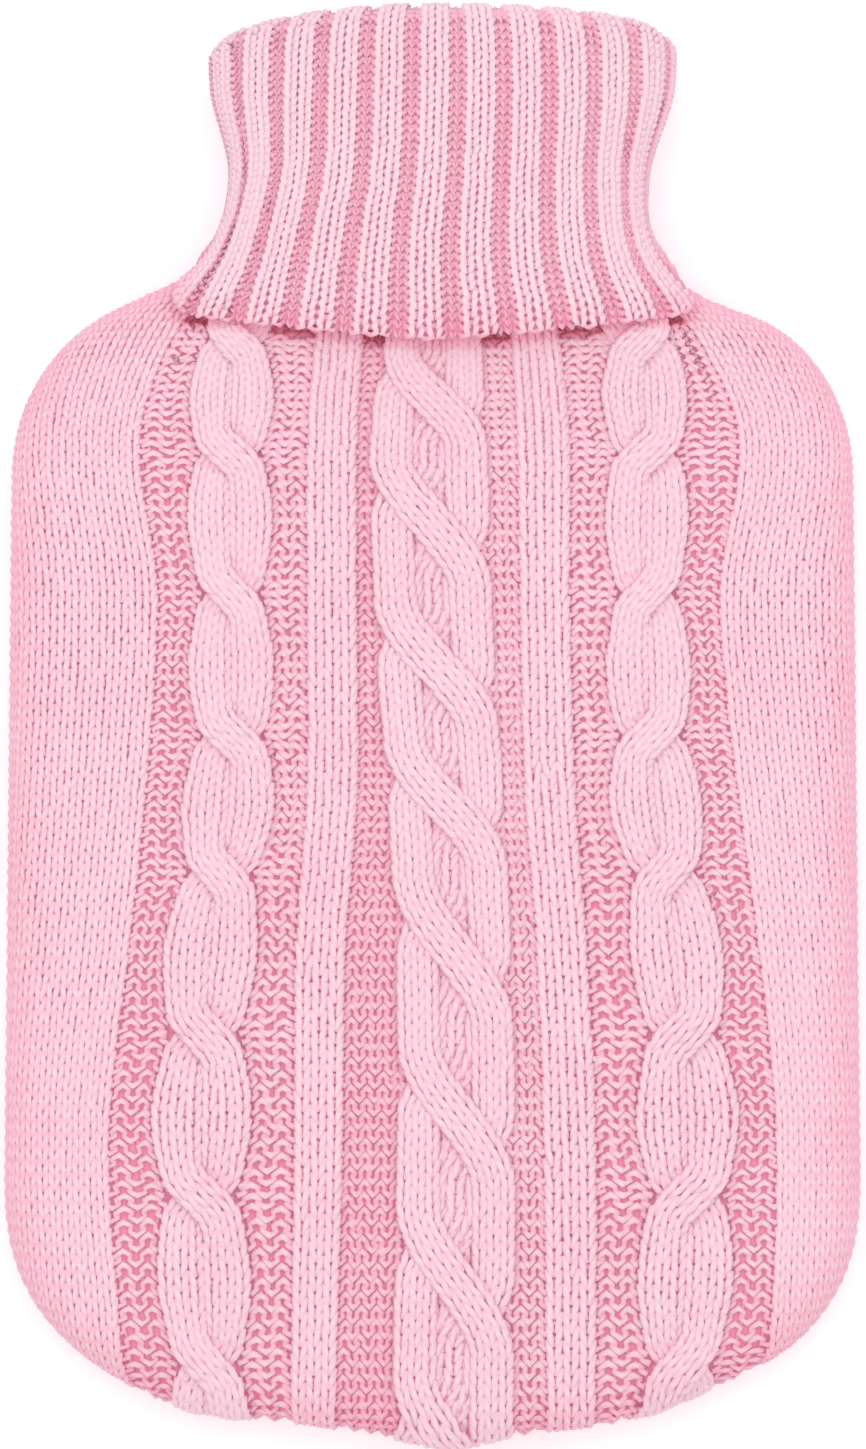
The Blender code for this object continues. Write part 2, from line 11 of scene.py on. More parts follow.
import bpy
import numpy as np
from bpy.props import FloatProperty, FloatVectorProperty, IntProperty, PointerProperty
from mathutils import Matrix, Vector


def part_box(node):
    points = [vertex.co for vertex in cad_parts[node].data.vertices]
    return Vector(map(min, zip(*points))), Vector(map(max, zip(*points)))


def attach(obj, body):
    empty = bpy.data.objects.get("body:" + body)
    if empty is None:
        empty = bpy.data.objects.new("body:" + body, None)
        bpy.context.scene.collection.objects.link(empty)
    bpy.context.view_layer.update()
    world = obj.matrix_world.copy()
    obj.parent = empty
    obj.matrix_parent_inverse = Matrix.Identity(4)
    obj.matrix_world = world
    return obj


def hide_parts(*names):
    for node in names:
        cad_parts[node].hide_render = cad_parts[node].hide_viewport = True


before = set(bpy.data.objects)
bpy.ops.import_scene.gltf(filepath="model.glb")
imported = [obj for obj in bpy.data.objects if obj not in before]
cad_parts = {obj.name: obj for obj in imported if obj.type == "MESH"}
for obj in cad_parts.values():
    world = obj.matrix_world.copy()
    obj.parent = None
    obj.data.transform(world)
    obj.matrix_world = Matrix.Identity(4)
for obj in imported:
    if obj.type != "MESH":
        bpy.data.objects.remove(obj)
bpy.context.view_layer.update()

bl_info = {
    "name": "Cable-knit bottle cover",
    "version": (1, 0, 0),
    "blender": (4, 5, 0),
    "location": "View3D > Sidebar > Cover",
    "description": "Knits a hot water bottle cover with cables, ribs and a folded collar, stitch by stitch",
    "category": "Object",
}

MM = 0.001
FRONT_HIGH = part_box("front_panel")[1]
COLLAR_LOW, COLLAR_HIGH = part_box("collar")

# Outline of the body, seen from above: two flanks with a squarish corner at each end. A shift is a place
# across the body, and how far up the shoulders or the bottom lie there from their even curve.
LOWER_HALF_WIDTH = FRONT_HIGH.x
UPPER_HALF_WIDTH = LOWER_HALF_WIDTH - 1.7 * MM
FLANK_TOP_Y, FLANK_BOTTOM_Y = 58.0 * MM, -110.0 * MM
SHOULDER_RISE, BOTTOM_DROP = 61.0 * MM, 62.4 * MM
UPPER_POWER, LOWER_POWER, CORNER_STEPS = 2.3, 2.5, 40
SHOULDER_SHIFTS = ((-68.0 * MM, -1.7 * MM), (68.0 * MM, -3.9 * MM))
BOTTOM_SHIFTS = (
    (-68.0 * MM, -0.8 * MM), (-35.0 * MM, 1.2 * MM), (42.0 * MM, -0.5 * MM), (68.0 * MM, 1.6 * MM),
)
SHIFT_SPREAD = 14.0 * MM
TIP_X, TIP_DROP, TIP_SPREAD = 4.0 * MM, 2.6 * MM, 15.0 * MM
NECK_Y = FRONT_HIGH.y
NECK_SIDE_TOP_Y = 190.0 * MM

# Thickness of the body: its seam, the edge that rolls up from it, and the crown of the front.
SEAM_Z = 12.0 * MM
EDGE_ROUND, EDGE_STEPS, SLOPE_STEP = 8.0 * MM, 60, 0.1 * MM
FRONT_RISE = 11.0 * MM
DOME_RISE, DOME_REACH = 3.0 * MM, 45.0 * MM
NECK_BLEND_Y, BACK_LIFT_Y = 72.0 * MM, 95.0 * MM

# Collar: cloth that comes up from the neck, folds outwards at the rim and hangs down to the hem.
COLLAR_Z = 19.0 * MM
LAYER, FOLD_GAP, INNER_LAYER = 3.2 * MM, 1.2 * MM, 2.8 * MM
FOLD_BEND = (LAYER + FOLD_GAP + INNER_LAYER) / 2.0
NECK_POWER, OVAL_STEPS = 2.4, 4001
RIM_TOP_Y, RIM_DIP, LEFT_DIP = COLLAR_HIGH.y - 0.7 * MM, 3.7 * MM, 2.3 * MM
RIM_CORNER_DIP, RIM_CORNER_POWER = 3.6 * MM, 14
HEM_FRONT_Y, HEM_ARC, HEM_ARC_POWER = COLLAR_LOW.y, 7.2 * MM, 1.1
HEM_SIDE_RISE, HEM_SIDE_POWER, GATHER_POWER = 13.2 * MM, 24, 4
HEM_CLEARANCE, SHOULDER_CLEARANCE, SHOULDER_REACH = 1.0 * MM, 2.4 * MM, 18.0 * MM
CLEARED_TO_Y, CLEARED_END_Y = NECK_Y - 5.0 * MM, NECK_Y + 1.0 * MM
NECK_DRAW_RISE = 14.0 * MM
COLLAR_HEIGHT = RIM_TOP_Y - HEM_FRONT_Y
OUTER_LENGTH = COLLAR_HEIGHT - FOLD_BEND
FOLD_END = OUTER_LENGTH + math.pi * FOLD_BEND

# Measures of the collar at its heights, in millimetres. The gather draws the waist in at the sides alone, so
# that the ribs between them stay straight, and the stand-off lifts the front.
COLLAR_COLUMNS = ("y", "middle", "half_width", "gather", "stand_off")
COLLAR_ROWS = (
    (175.0, 2.4, 53.5, 0.0, 0.0),
    (168.0, 2.4, 56.5, 0.0, 0.4),
    (156.0, 2.4, 57.0, 1.0, 0.4),
    (132.0, 1.5, 51.5, 7.5, 0.0),
    (121.0, 0.5, 52.9, 8.5, 0.2),
    (112.6, 0.1, 57.4, 6.0, 0.8),
    (107.8, 0.1, 62.0, 3.0, 1.2),
    (102.6, 0.4, 66.5, 0.5, 1.6),
    (93.6, 0.4, 70.0, 0.0, 1.8),
)

# Ribs of the collar: how many go round, where the first lies, and how much of a rib its knit wales take.
RIBS_ROUND, WALES_A_RIB = 24, 4
RIB_PHASE, KNIT_SHARE = 0.16, 0.66

# Where each band of the pattern begins at some heights, from left to right, in millimetres from the middle.
BAND_COLUMNS = (
    "y", "left_side", "left_cable", "left_cable_end", "left_rib", "left_rib_end", "braid",
    "braid_end", "right_rib", "right_rib_end", "right_cable", "right_cable_end", "right_side",
)
BAND_ROWS = (
    (113.0, -47.0, -43.0, -32.5, -25.5, -15.5, -10.5, 10.5, 15.5, 25.5, 32.5, 43.0, 47.0),
    (95.7, -61.5, -56.0, -37.7, -28.0, -16.4, -10.5, 11.0, 18.6, 30.0, 39.9, 59.0, 62.5),
    (78.7, -69.2, -58.6, -38.4, -29.7, -17.8, -13.5, 12.0, 20.0, 32.4, 40.9, 61.5, 72.1),
    (30.2, -66.6, -58.6, -38.9, -30.2, -18.3, -13.5, 13.7, 21.2, 33.1, 42.1, 61.5, 69.5),
    (-18.3, -69.7, -60.3, -38.2, -30.4, -18.3, -10.1, 16.4, 22.4, 34.6, 42.8, 64.9, 74.3),
    (-52.3, -73.4, -64.6, -42.3, -32.9, -21.0, -8.1, 18.3, 25.1, 37.0, 47.7, 69.7, 78.9),
    (-93.5, -78.2, -67.8, -43.8, -33.3, -21.7, -7.9, 19.3, 26.6, 39.2, 49.3, 73.8, 83.1),
    (-163.8, -74.6, -64.2, -43.8, -34.1, -23.6, -9.1, 18.8, 27.8, 39.4, 49.6, 70.2, 81.4),
)

# Height of the courses of knitting, counted up from the lowest crossing of the cables.
COURSES_PER_CROSSING = 12
COURSE_ROWS = (
    (-12, -195.3), (0, -154.5), (12, -113.7), (24, -74.4), (36, -35.5),
    (48, -2.5), (60, 32.0), (72, 66.0), (84, 92.6), (96, 119.0),
)
FIRST_COURSE, LAST_COURSE, SHOULDER_COURSE = -9, 90, 95

# Cables: half the courses of a crossing, how narrow and how high the cable is there, how far its stitches
# spread, how the purl stitches beside it are drawn in, and how its courses lean with its strands.
CABLE_HALF_TURN, CABLE_WAIST, CABLE_LENS = 1.9, 0.27, 1.5
CABLE_LIFT, CABLE_TURN_LIFT, CABLE_ROUNDING = 1.75 * MM, 1.5 * MM, 0.9 * MM
CROSSING_SPREAD, CROSSING_SPREAD_REACH = 0.15, 3.0
CROSSING_DRAW, CROSSING_DRAW_REACH = 0.35, 2.5
STRAND_LEAN, STRAND_LEAN_REACH = 0.8, 1.5

# Braid. A turn is its middle course, its steps to the right, and half its courses. Where a strand lies over
# or under its neighbours is a middle course, and how far from it the change begins and ends.
BRAID_TURNS = ((6.0, -2.0, 5.4), (20.5, 1.0, 2.6), (27.5, 1.0, 2.6))
BRAID_OVER, BRAID_UNDER = (6.0, 1.6, 8.1), (24.0, 3.0, 7.0)
BRAID_TURN_LIFT, BRAID_ROUNDING = 1.1 * MM, 0.7 * MM
BRAID_FILL, BRAID_UNDER_FILL, BRAID_MIDDLE, BRAID_SIDE = 1.1, 0.4, 0.4, 1.0
BRAID_BACK_LIFT, BRAID_BACK_FILL = -0.3 * MM, 1.2

# Wales of each band, the spacing and thinner yarn of the plain sides, and the channels beside the braid.
SIDE_WALES, SIDE_PITCH, SIDE_FOLLOW, SIDE_GIRTH = 13, 3.42 * MM, 0.4, 0.87
SIDE_INNER_X = 67.0 * MM
PURL_WALES, RIB_WALES, STRAND_WALES = 2, 3, 3
BRAID_PURL_WALES, BRAID_END_WALES, BRAID_PURL_PITCH = 4, 3, 3.8 * MM

# A kind of band has its face, 1 for knit and -1 for purl, its yarn's height over the ground, and its painted
# shade.
KINDS = {
    "side": (1.0, -0.5 * MM, 0.06), "rib": (1.0, 0.55 * MM, 0.0),
    "purl": (-1.0, -1.05 * MM, -0.08), "furrow": (-1.0, -1.3 * MM, 0.12),
}
BAND_SOFT = 0.2

# Stitches: how purl differs from knit, how yarn thins with its depth, and how the ends of strands tuck in.
PURL_WAVE, PURL_NARROW, PURL_REACH = 1.55, 0.35, 0.1
SWELL_TOP, SWELL_LOSS = 1.06, 0.26
TUCK, TUCK_STEPS, SHORTEST_RUN = 1.0 * MM, 2.0, 3

# Painted shade: depth of yarn, from 0 in the light to 1 deep in the cloth, and past 1 in the shadow under
# the hem.
DEPTH_MEAN, DEPTH_OF_FACE, DEPTH_OF_WAVE = 0.41, 0.11, 0.38
# Painted shadow under the collar's hem: how dark it is, where it begins and ends below the hem and to the
# sides, and how much darker over purl.
HEM_SHADE, HEM_SHADE_FROM, HEM_SHADE_TO = 1.6, 1.4 * MM, 3.6 * MM
HEM_SHADE_X, HEM_SHADE_END_X = 60.0 * MM, 66.0 * MM
HEM_SHADE_MEAN, HEM_SHADE_OF_FACE = 0.7, 0.3
# Painted shade towards the seam, in the collar's purl stripes and on its flanks; the collar's hem courses
# are also darker.
SEAM_SHADE, SEAM_SHADE_REACH = 0.5, 24.0 * MM
COLLAR_SHADE, COLLAR_SHADE_OF_FACE, COLLAR_HEM_SHADE = 0.3, 0.42, 0.3
FLANK_SHADE, FLANK_POWER = 0.28, 8

# Relief of the front, which sinks under the collar and at the seam. The collar's yarn rolls up at its hem.
CABLES_RELIEF = 2.8 * MM
HIDDEN_LIFT, RELIEF_TOP_Y = -1.2 * MM, 108.0 * MM
SEAM_LIFT, SEAM_LIFT_REACH, SEAM_TRIM = -1.1 * MM, 10.0 * MM, -0.5 * MM
COLLAR_YARN_LIFT = -1.25 * MM
HEM_COURSES, HEM_DROP, HEM_ROLL, HEM_SINK = 3.5, 0.8 * MM, 0.9 * MM, 0.2 * MM

# Ground cloths, which lie a little below the yarn. The one of the collar follows its ribs, and comes up
# towards the surface inside the mouth.
CLOTH_DEPTH, CLOTH_THICK, CLOTH_STEP = 2.1 * MM, 0.9 * MM, 4.5 * MM
COLLAR_CLOTH_DEPTH, COLLAR_CLOTH_THICK, COLLAR_CLOTH_ROWS = 1.8 * MM, 0.5 * MM, 56
HEM_INSET, FURROW_DEPTH, RIB_FILL = 0.6 * MM, 1.0 * MM, 0.9 * MM
TURNED_IN_REACH, TURNED_IN_LIFT, TURNED_IN_RELIEF = 6.0 * MM, 0.2 * MM, 0.3 * MM

# Pressed stitches of the back: how high the yarn stands and how far it leans at each point of a stitch.
POINTS_A_STITCH = 4
LEG_ACROSS, LEG_UP = (0.0, 1.0, 0.25, 1.0), (0.35, 0.9, 1.0, 0.8)
LEAN_ACROSS, LEAN_UP = (0.0, -1.0, 0.0, 1.0), (-1.0, -0.45, 0.1, 0.65)
BACK_UNEVENNESS, BACK_SINK, BACK_LOWEST_Z = 0.06, 0.1 * MM, 0.05 * MM

# Seeds of the uneven stitches.
SIDE_SEED, RIB_SEED, LEFT_CABLE_SEED, RIGHT_CABLE_SEED, BRAID_SEED, COLLAR_SEED = 10, 20, 30, 40, 50, 60

# Finishes: blotches a metre of each noise, its share in the colour or relief, and how little yarn shines.
PATCH_SCALE, TUFT_SCALE, FUZZ_SCALE, FIBRE_SCALE = 45.0, 900.0, 2400.0, 2600.0
PATCH_SHARE, TUFT_SHARE, FUZZ_SHARE, BLOTCH_LEVEL = 0.4, 0.45, 0.5, 0.43
PLY_RELIEF, FIBRE_RELIEF, YARN_RELIEF, YARN_BUMP = 0.5, 0.8, 0.25 * MM, 0.6
DEEP_TUFT_SCALE, DEEP_FIBRE_SCALE, DEEP_RELIEF = 700.0, 1500.0, 0.3 * MM
YARN_SHINE, DEEP_SHINE, SHEEN_ROUGHNESS, SHEEN_TINT = 0.2, 0.1, 0.6, (1.0, 0.85, 0.9, 1.0)

# Floor: a large sheet of faintly blotched paper just under the cover.
FLOOR_SIZE, FLOOR_Z = 6.0, -0.2 * MM
PAPER_SCALE, PAPER_DULL, PAPER_ROUGHNESS, PAPER_SHINE = 220.0, 0.98, 0.9, 0.1

# A strip of the front is knitted in one: the edges of its bands, their wales and kinds, and its last edge.
STRIPS = {
    "left_side": ((("left_outer", SIDE_WALES, "side"), ("left_side", PURL_WALES, "purl")), "left_cable"),
    "left_rib": ((("left_cable_end", PURL_WALES, "purl"), ("left_rib", RIB_WALES, "rib"),
                  ("left_rib_end", BRAID_PURL_WALES, "furrow")), "under_braid"),
    "right_rib": ((("under_braid_end", BRAID_END_WALES, "purl"), ("right_rib", RIB_WALES, "rib"),
                   ("right_rib_end", PURL_WALES, "purl")), "right_cable"),
    "right_side": ((("right_cable_end", PURL_WALES, "purl"), ("right_side", SIDE_WALES, "side")),
                   "right_outer"),
}


# ---------------------------------------------------------------- curves


def eased(low, high, value):
    """0 below low, 1 above high, and a soft ramp between them."""
    share = np.clip((value - low) / (high - low), 0.0, 1.0)
    return share * share * (3.0 - 2.0 * share)


def fading(low, high, value):
    """1 below low, 0 above high, and a soft ramp between them."""
    return 1.0 - eased(low, high, value)


def unit(vectors):
    """The same directions, each of length 1."""
    return vectors / np.maximum(np.linalg.norm(vectors, axis=-1), 1e-12)[..., None]


def flowing(heights, values, at):
    """A smooth curve through a column of values, read anywhere."""
    slopes = np.gradient(values, heights)
    at = np.clip(at, heights[0], heights[-1])
    low = np.clip(np.searchsorted(heights, at) - 1, 0, len(heights) - 2)
    span = heights[low + 1] - heights[low]
    t = (at - heights[low]) / span
    start = values[low] * (1 + 2 * t) * (1 - t) ** 2 + slopes[low] * span * t * (1 - t) ** 2
    end = values[low + 1] * t * t * (3 - 2 * t) + slopes[low + 1] * span * t * t * (t - 1)
    return start + end


def measure(names, rows, name, at):
    """One named column of a table in millimetres, read at any of the heights that its first column spans."""
    table = np.array(sorted(rows), float)
    return flowing(table[:, 0] * MM, table[:, names.index(name)] * MM, at)


def collar_measure(name, y):
    """One measure of the collar at a height."""
    return measure(COLLAR_COLUMNS, COLLAR_ROWS, name, y)


def course_y(course):
    """Height of a course of knitting, which may be a fraction."""
    table = np.array(COURSE_ROWS, float)
    return flowing(table[:, 0], table[:, 1] * MM, course)


def from_crossing(course):
    """Courses above the nearest crossing, less than 0 below it."""
    return course - np.round(course / COURSES_PER_CROSSING) * COURSES_PER_CROSSING


def at_crossing(course, reach):
    """1 where a cable crosses, falling to 0 at that many courses from it."""
    return fading(0.0, reach, np.abs(from_crossing(course)))


def pattern_edges(course):
    """Where every band of the front begins or ends at a course."""
    y = course_y(course)
    at = {name: measure(BAND_COLUMNS, BAND_ROWS, name, y) for name in BAND_COLUMNS[1:]}
    lens = np.abs(np.sin(math.pi * course / COURSES_PER_CROSSING)) ** CABLE_LENS
    waist = 1.0 - CABLE_WAIST * (1.0 - lens)
    for begin, end in (("left_cable", "left_cable_end"), ("right_cable", "right_cable_end")):
        middle, half = (at[begin] + at[end]) / 2.0, (at[end] - at[begin]) / 2.0
        at[begin], at[end] = middle - half * waist, middle + half * waist
    outer = SIDE_INNER_X + SIDE_WALES * SIDE_PITCH
    at["left_outer"] = -outer + SIDE_FOLLOW * (at["left_side"] + SIDE_INNER_X)
    at["right_outer"] = outer + SIDE_FOLLOW * (at["right_side"] - SIDE_INNER_X)
    at["under_braid"] = at["left_rib_end"] + BRAID_PURL_WALES * BRAID_PURL_PITCH
    at["under_braid_end"] = at["braid_end"] - BRAID_PURL_PITCH
    return at


# ---------------------------------------------------------------- pillow shape of the body


def quarter(half_width, reach, power, turn):
    """A squarish quarter oval, from its side at turn 0 to its end at a right angle."""
    return half_width * np.abs(np.cos(turn)) ** (2.0 / power), reach * np.abs(np.sin(turn)) ** (2.0 / power)


def body_outline():
    """The outline from the left of the neck round the bottom to the right of the neck."""
    turn = np.linspace(0.0, math.pi / 2.0, CORNER_STEPS)
    low_x, low_y = quarter(LOWER_HALF_WIDTH, BOTTOM_DROP, LOWER_POWER, turn[::-1])
    high_x, high_y = quarter(UPPER_HALF_WIDTH, SHOULDER_RISE, UPPER_POWER, turn)
    kept = FLANK_TOP_Y + high_y < NECK_Y
    neck_x = np.interp(NECK_Y - FLANK_TOP_Y, high_y, high_x)
    x = np.concatenate((low_x, high_x[kept], (neck_x, neck_x)))
    y = np.concatenate((FLANK_BOTTOM_Y - low_y, FLANK_TOP_Y + high_y[kept], (NECK_Y, NECK_SIDE_TOP_Y)))
    x, y = np.concatenate((-x[::-1], x[1:])), np.concatenate((y[::-1], y[1:]))
    y = y - TIP_DROP * np.exp(-((x - TIP_X) / TIP_SPREAD) ** 2) * (y < 0.0)
    for end, shifts in ((y > 0.0, SHOULDER_SHIFTS), (y < 0.0, BOTTOM_SHIFTS)):
        for at, shift in shifts:
            y = y + shift * np.exp(-((x - at) / SHIFT_SPREAD) ** 2) * end
    return np.column_stack((x, y))


OUTLINE = body_outline()
NECK_HALF_WIDTH = OUTLINE[-1, 0]
NECK_HALF_DEPTH = COLLAR_Z - LAYER - FOLD_GAP


def nearest_edge(x, y, at_once=6000, touching=1e-6):
    """How far each place lies inside the outline (less than 0 outside), and the way out, as unit vectors."""
    start, run = OUTLINE[:-1], np.diff(OUTLINE, axis=0)
    across = np.column_stack((run[:, 1], -run[:, 0])) / np.linalg.norm(run, axis=1)[:, None]
    points = np.column_stack((x, y))
    distance, outward = np.empty(len(points)), np.empty_like(points)
    for first in range(0, len(points), at_once):
        here = points[first:first + at_once]
        share = ((here[:, None] - start) * run).sum(2) / (run ** 2).sum(1)
        away = start + np.clip(share, 0.0, 1.0)[..., None] * run - here[:, None]
        gap = np.linalg.norm(away, axis=2)
        row, nearest = np.arange(len(here)), gap.argmin(1)
        way, length = away[row, nearest], gap[row, nearest]
        side = np.where((way * across[nearest]).sum(1) < 0.0, -1.0, 1.0)
        heading = way / np.maximum(length, touching)[:, None] * side[:, None]
        outward[first:first + at_once] = np.where((length < touching)[:, None], across[nearest], heading)
        distance[first:first + at_once] = length * side
    return distance, outward


def seam_z(y):
    """Height of the side seam, which climbs to the middle of the neck."""
    return SEAM_Z + (COLLAR_Z - SEAM_Z) * eased(NECK_BLEND_Y, NECK_Y, y)


def rolled(distance):
    """Rise of the cloth as it rolls over the edge of the body, from 0 to 1."""
    short = 1.0 - np.clip(distance / EDGE_ROUND, 0.0, 1.0)
    return np.sqrt(1.0 - short ** 2)


def oval(distance):
    """Rise of the cloth across the neck, from 0 at its side to 1 in the middle."""
    short = np.clip(1.0 - distance / NECK_HALF_WIDTH, 0.0, 1.0)
    return (1.0 - short ** NECK_POWER) ** (1.0 / NECK_POWER)


def front_z(distance, y):
    """Ground level of the front."""
    neck = eased(NECK_BLEND_Y, NECK_Y, y)
    dome = 1.0 - (1.0 - np.clip(distance / DOME_REACH, 0.0, 1.0)) ** 2
    body = FRONT_RISE * rolled(distance) + DOME_RISE * dome
    return seam_z(y) + (1.0 - neck) * body + neck * NECK_HALF_DEPTH * oval(distance)


def back_z(distance, y):
    """Ground level of the back, which is flat but for the lift over the folded collar."""
    neck = eased(NECK_BLEND_Y, NECK_Y, y)
    floor = (COLLAR_Z - NECK_HALF_DEPTH) * eased(NECK_BLEND_Y, BACK_LIFT_Y, y)
    rise = (1.0 - neck) * rolled(distance) + neck * oval(distance)
    return seam_z(y) - (seam_z(y) - floor) * rise


class Side:
    """The front or the back of the body, which lays flat cloth over the rolled edge and the crown."""

    def __init__(self, level, edge_rise, up):
        self.level, self.up = level, up
        turn = np.linspace(0.0, math.pi / 2.0, EDGE_STEPS)
        self.inset = EDGE_ROUND * (1.0 - np.cos(turn))
        step = np.hypot(np.diff(self.inset), np.diff(edge_rise * np.sin(turn)))
        self.arc = np.concatenate(((0.0,), np.cumsum(step)))
        self.spare = self.arc[-1] - EDGE_ROUND

    def lay(self, x, y, lift, wave=0.0):
        """Places in space of flat points, the way out of the cloth there, and how far up from the seam."""
        distance, outward = nearest_edge(x.ravel(), y.ravel())
        from_seam = distance + self.spare
        inset = np.where(from_seam < self.arc[-1], np.interp(from_seam, self.arc, self.inset), distance)
        plan = np.column_stack((x.ravel(), y.ravel())) + outward * (distance - inset)[:, None]
        near, far = self.level(inset, plan[:, 1]), self.level(inset + SLOPE_STEP, plan[:, 1])
        slope = (far - near) / SLOPE_STEP * self.up
        steep = 1.0 / np.sqrt(1.0 + slope ** 2)
        normal = np.column_stack((outward * (slope * steep)[:, None], self.up * steep))
        low = np.minimum(lift, SEAM_LIFT).ravel()
        lift = low + (np.ravel(lift) - low) * eased(0.0, SEAM_LIFT_REACH, from_seam) + np.ravel(wave)
        place = np.column_stack((plan, near)) + normal * lift[:, None]
        shape = x.shape + (3,)
        return place.reshape(shape), normal.reshape(shape), from_seam.reshape(x.shape)


FRONT = Side(front_z, FRONT_RISE, 1.0)
BACK = Side(back_z, SEAM_Z, -1.0)


# ---------------------------------------------------------------- folded collar


def oval_point(turn, half_width, half_depth):
    """Point of a flattened oval, from its middle."""
    power = 2.0 / NECK_POWER
    cos, sin = np.cos(turn), np.sin(turn)
    x = half_width * np.sign(cos) * np.abs(cos) ** power
    z = half_depth * np.sign(sin) * np.abs(sin) ** power
    return x, z


def even_turns(shares):
    """Angles round the collar's oval that share its length evenly; a whole round is 1."""
    turn = np.linspace(0.0, 2.0 * math.pi, OVAL_STEPS)
    x, z = oval_point(turn, collar_measure("half_width", RIM_TOP_Y), COLLAR_Z)
    length = np.concatenate(((0.0,), np.cumsum(np.hypot(np.diff(x), np.diff(z)))))
    whole = np.floor(shares)
    return np.interp(shares - whole, length / length[-1], turn) + whole * 2.0 * math.pi


def relief_fade(y):
    """1 on the open front, and 0 under the collar, where the pattern lies low."""
    return fading(BACK_LIFT_Y, RELIEF_TOP_Y, y)


def clear_of_body(x, y, z, front, outside):
    """Moves the turned-down cloth off the body, above and below, where it would touch it."""
    distance = nearest_edge(x.ravel(), y.ravel())[0].reshape(x.shape)
    within = np.maximum(distance, 0.0)
    room = HEM_CLEARANCE + SHOULDER_CLEARANCE * (1.0 - np.minimum(within / SHOULDER_REACH, 1.0)) + outside
    above = front_z(within, y) + CABLES_RELIEF * eased(0.0, SHOULDER_REACH, within) * relief_fade(y) + room
    below = back_z(within, y) - room
    cleared = np.where(front, np.maximum(z, above), np.minimum(z, below))
    over_body = eased(-2.0 * SHOULDER_CLEARANCE, 0.0, distance) * fading(CLEARED_TO_Y, CLEARED_END_Y, y)
    return z + (cleared - z) * over_body


def hem_height(side):
    """Height of the hem, from the middle of the collar at 0 to its sides at 1."""
    return HEM_FRONT_Y + HEM_ARC * side ** HEM_ARC_POWER + HEM_SIDE_RISE * side ** HEM_SIDE_POWER


def collar_surface(turn, up, cleared=True):
    """Places on the folded cloth: up is metres from the hem, over the fold and down the inside."""
    side = np.abs(np.cos(turn))
    dip = RIM_DIP + np.where(np.cos(turn) < 0.0, LEFT_DIP, 0.0)
    fold_y = RIM_TOP_Y - dip * side ** 2 - RIM_CORNER_DIP * side ** RIM_CORNER_POWER - FOLD_BEND
    hem_y = hem_height(side)
    around = np.clip((up - OUTER_LENGTH) / FOLD_BEND, 0.0, math.pi)
    inside = np.maximum(up - FOLD_END, 0.0)
    y = hem_y + (fold_y - hem_y) * np.minimum(up / OUTER_LENGTH, 1.0) + FOLD_BEND * np.sin(around) - inside
    depth = FOLD_BEND * (1.0 - np.cos(around))
    gather = collar_measure("gather", y) * (inside == 0.0)
    x, z = oval_point(turn, collar_measure("half_width", y) + gather - depth, COLLAR_Z - depth)
    x = x - gather * np.sign(np.cos(turn)) * side ** GATHER_POWER
    near_neck = fading(NECK_Y, NECK_Y + NECK_DRAW_RISE, y) * (inside > 0.0)
    neck_width = (NECK_HALF_WIDTH + LAYER + FOLD_GAP - depth) / (collar_measure("half_width", y) - depth)
    x = x * (1.0 + (neck_width - 1.0) * near_neck)
    x = x + collar_measure("middle", y) * (1.0 - near_neck)
    front = np.sin(turn) > 0.0
    z = z + COLLAR_Z + np.where(front, collar_measure("stand_off", y), 0.0)
    if cleared:
        z = np.where(up < OUTER_LENGTH, clear_of_body(x, y, z, front, LAYER), z)
    return np.stack((x, y, z), axis=-1)


def collar_lay(share, up, lift):
    """Places in space of the collar's flat points, and the way out of the cloth there."""
    small_round, small_up = 0.002, 0.5 * MM

    def plain(aside, further):
        return collar_surface(even_turns(share + aside), up + further, False)

    along = plain(0.0, small_up) - plain(0.0, 0.0)
    normal = unit(np.cross(along, plain(small_round, 0.0) - plain(-small_round, 0.0)))
    return collar_surface(even_turns(share), up) + normal * lift[..., None], normal


# ---------------------------------------------------------------- yarn


def add_mesh(name, points, corners, starts, maps, depths):
    """Makes an object from its points, face corners, face starts, maps, and the depths of its points."""
    mesh = bpy.data.meshes.new(name)
    mesh.vertices.add(len(points))
    mesh.vertices.foreach_set("co", np.ascontiguousarray(points, np.float32).ravel())
    mesh.loops.add(len(corners))
    mesh.loops.foreach_set("vertex_index", np.ascontiguousarray(corners, np.int32))
    mesh.polygons.add(len(starts))
    mesh.polygons.foreach_set("loop_start", np.ascontiguousarray(starts, np.int32))
    for title, places in maps.items():
        layer = mesh.uv_layers.new(name=title)
        layer.data.foreach_set("uv", np.ascontiguousarray(places, np.float32).ravel())
    # The Depth attribute holds painted shade, which the yarn finish turns into deeper pink and shadow.
    mesh.attributes.new("Depth", "FLOAT", "POINT").data.foreach_set("value", np.asarray(depths, np.float32))
    mesh.update(calc_edges=True)
    mesh.validate()
    mesh.shade_smooth()
    thing = bpy.data.objects.new(name, mesh)
    bpy.context.scene.collection.objects.link(thing)
    return thing


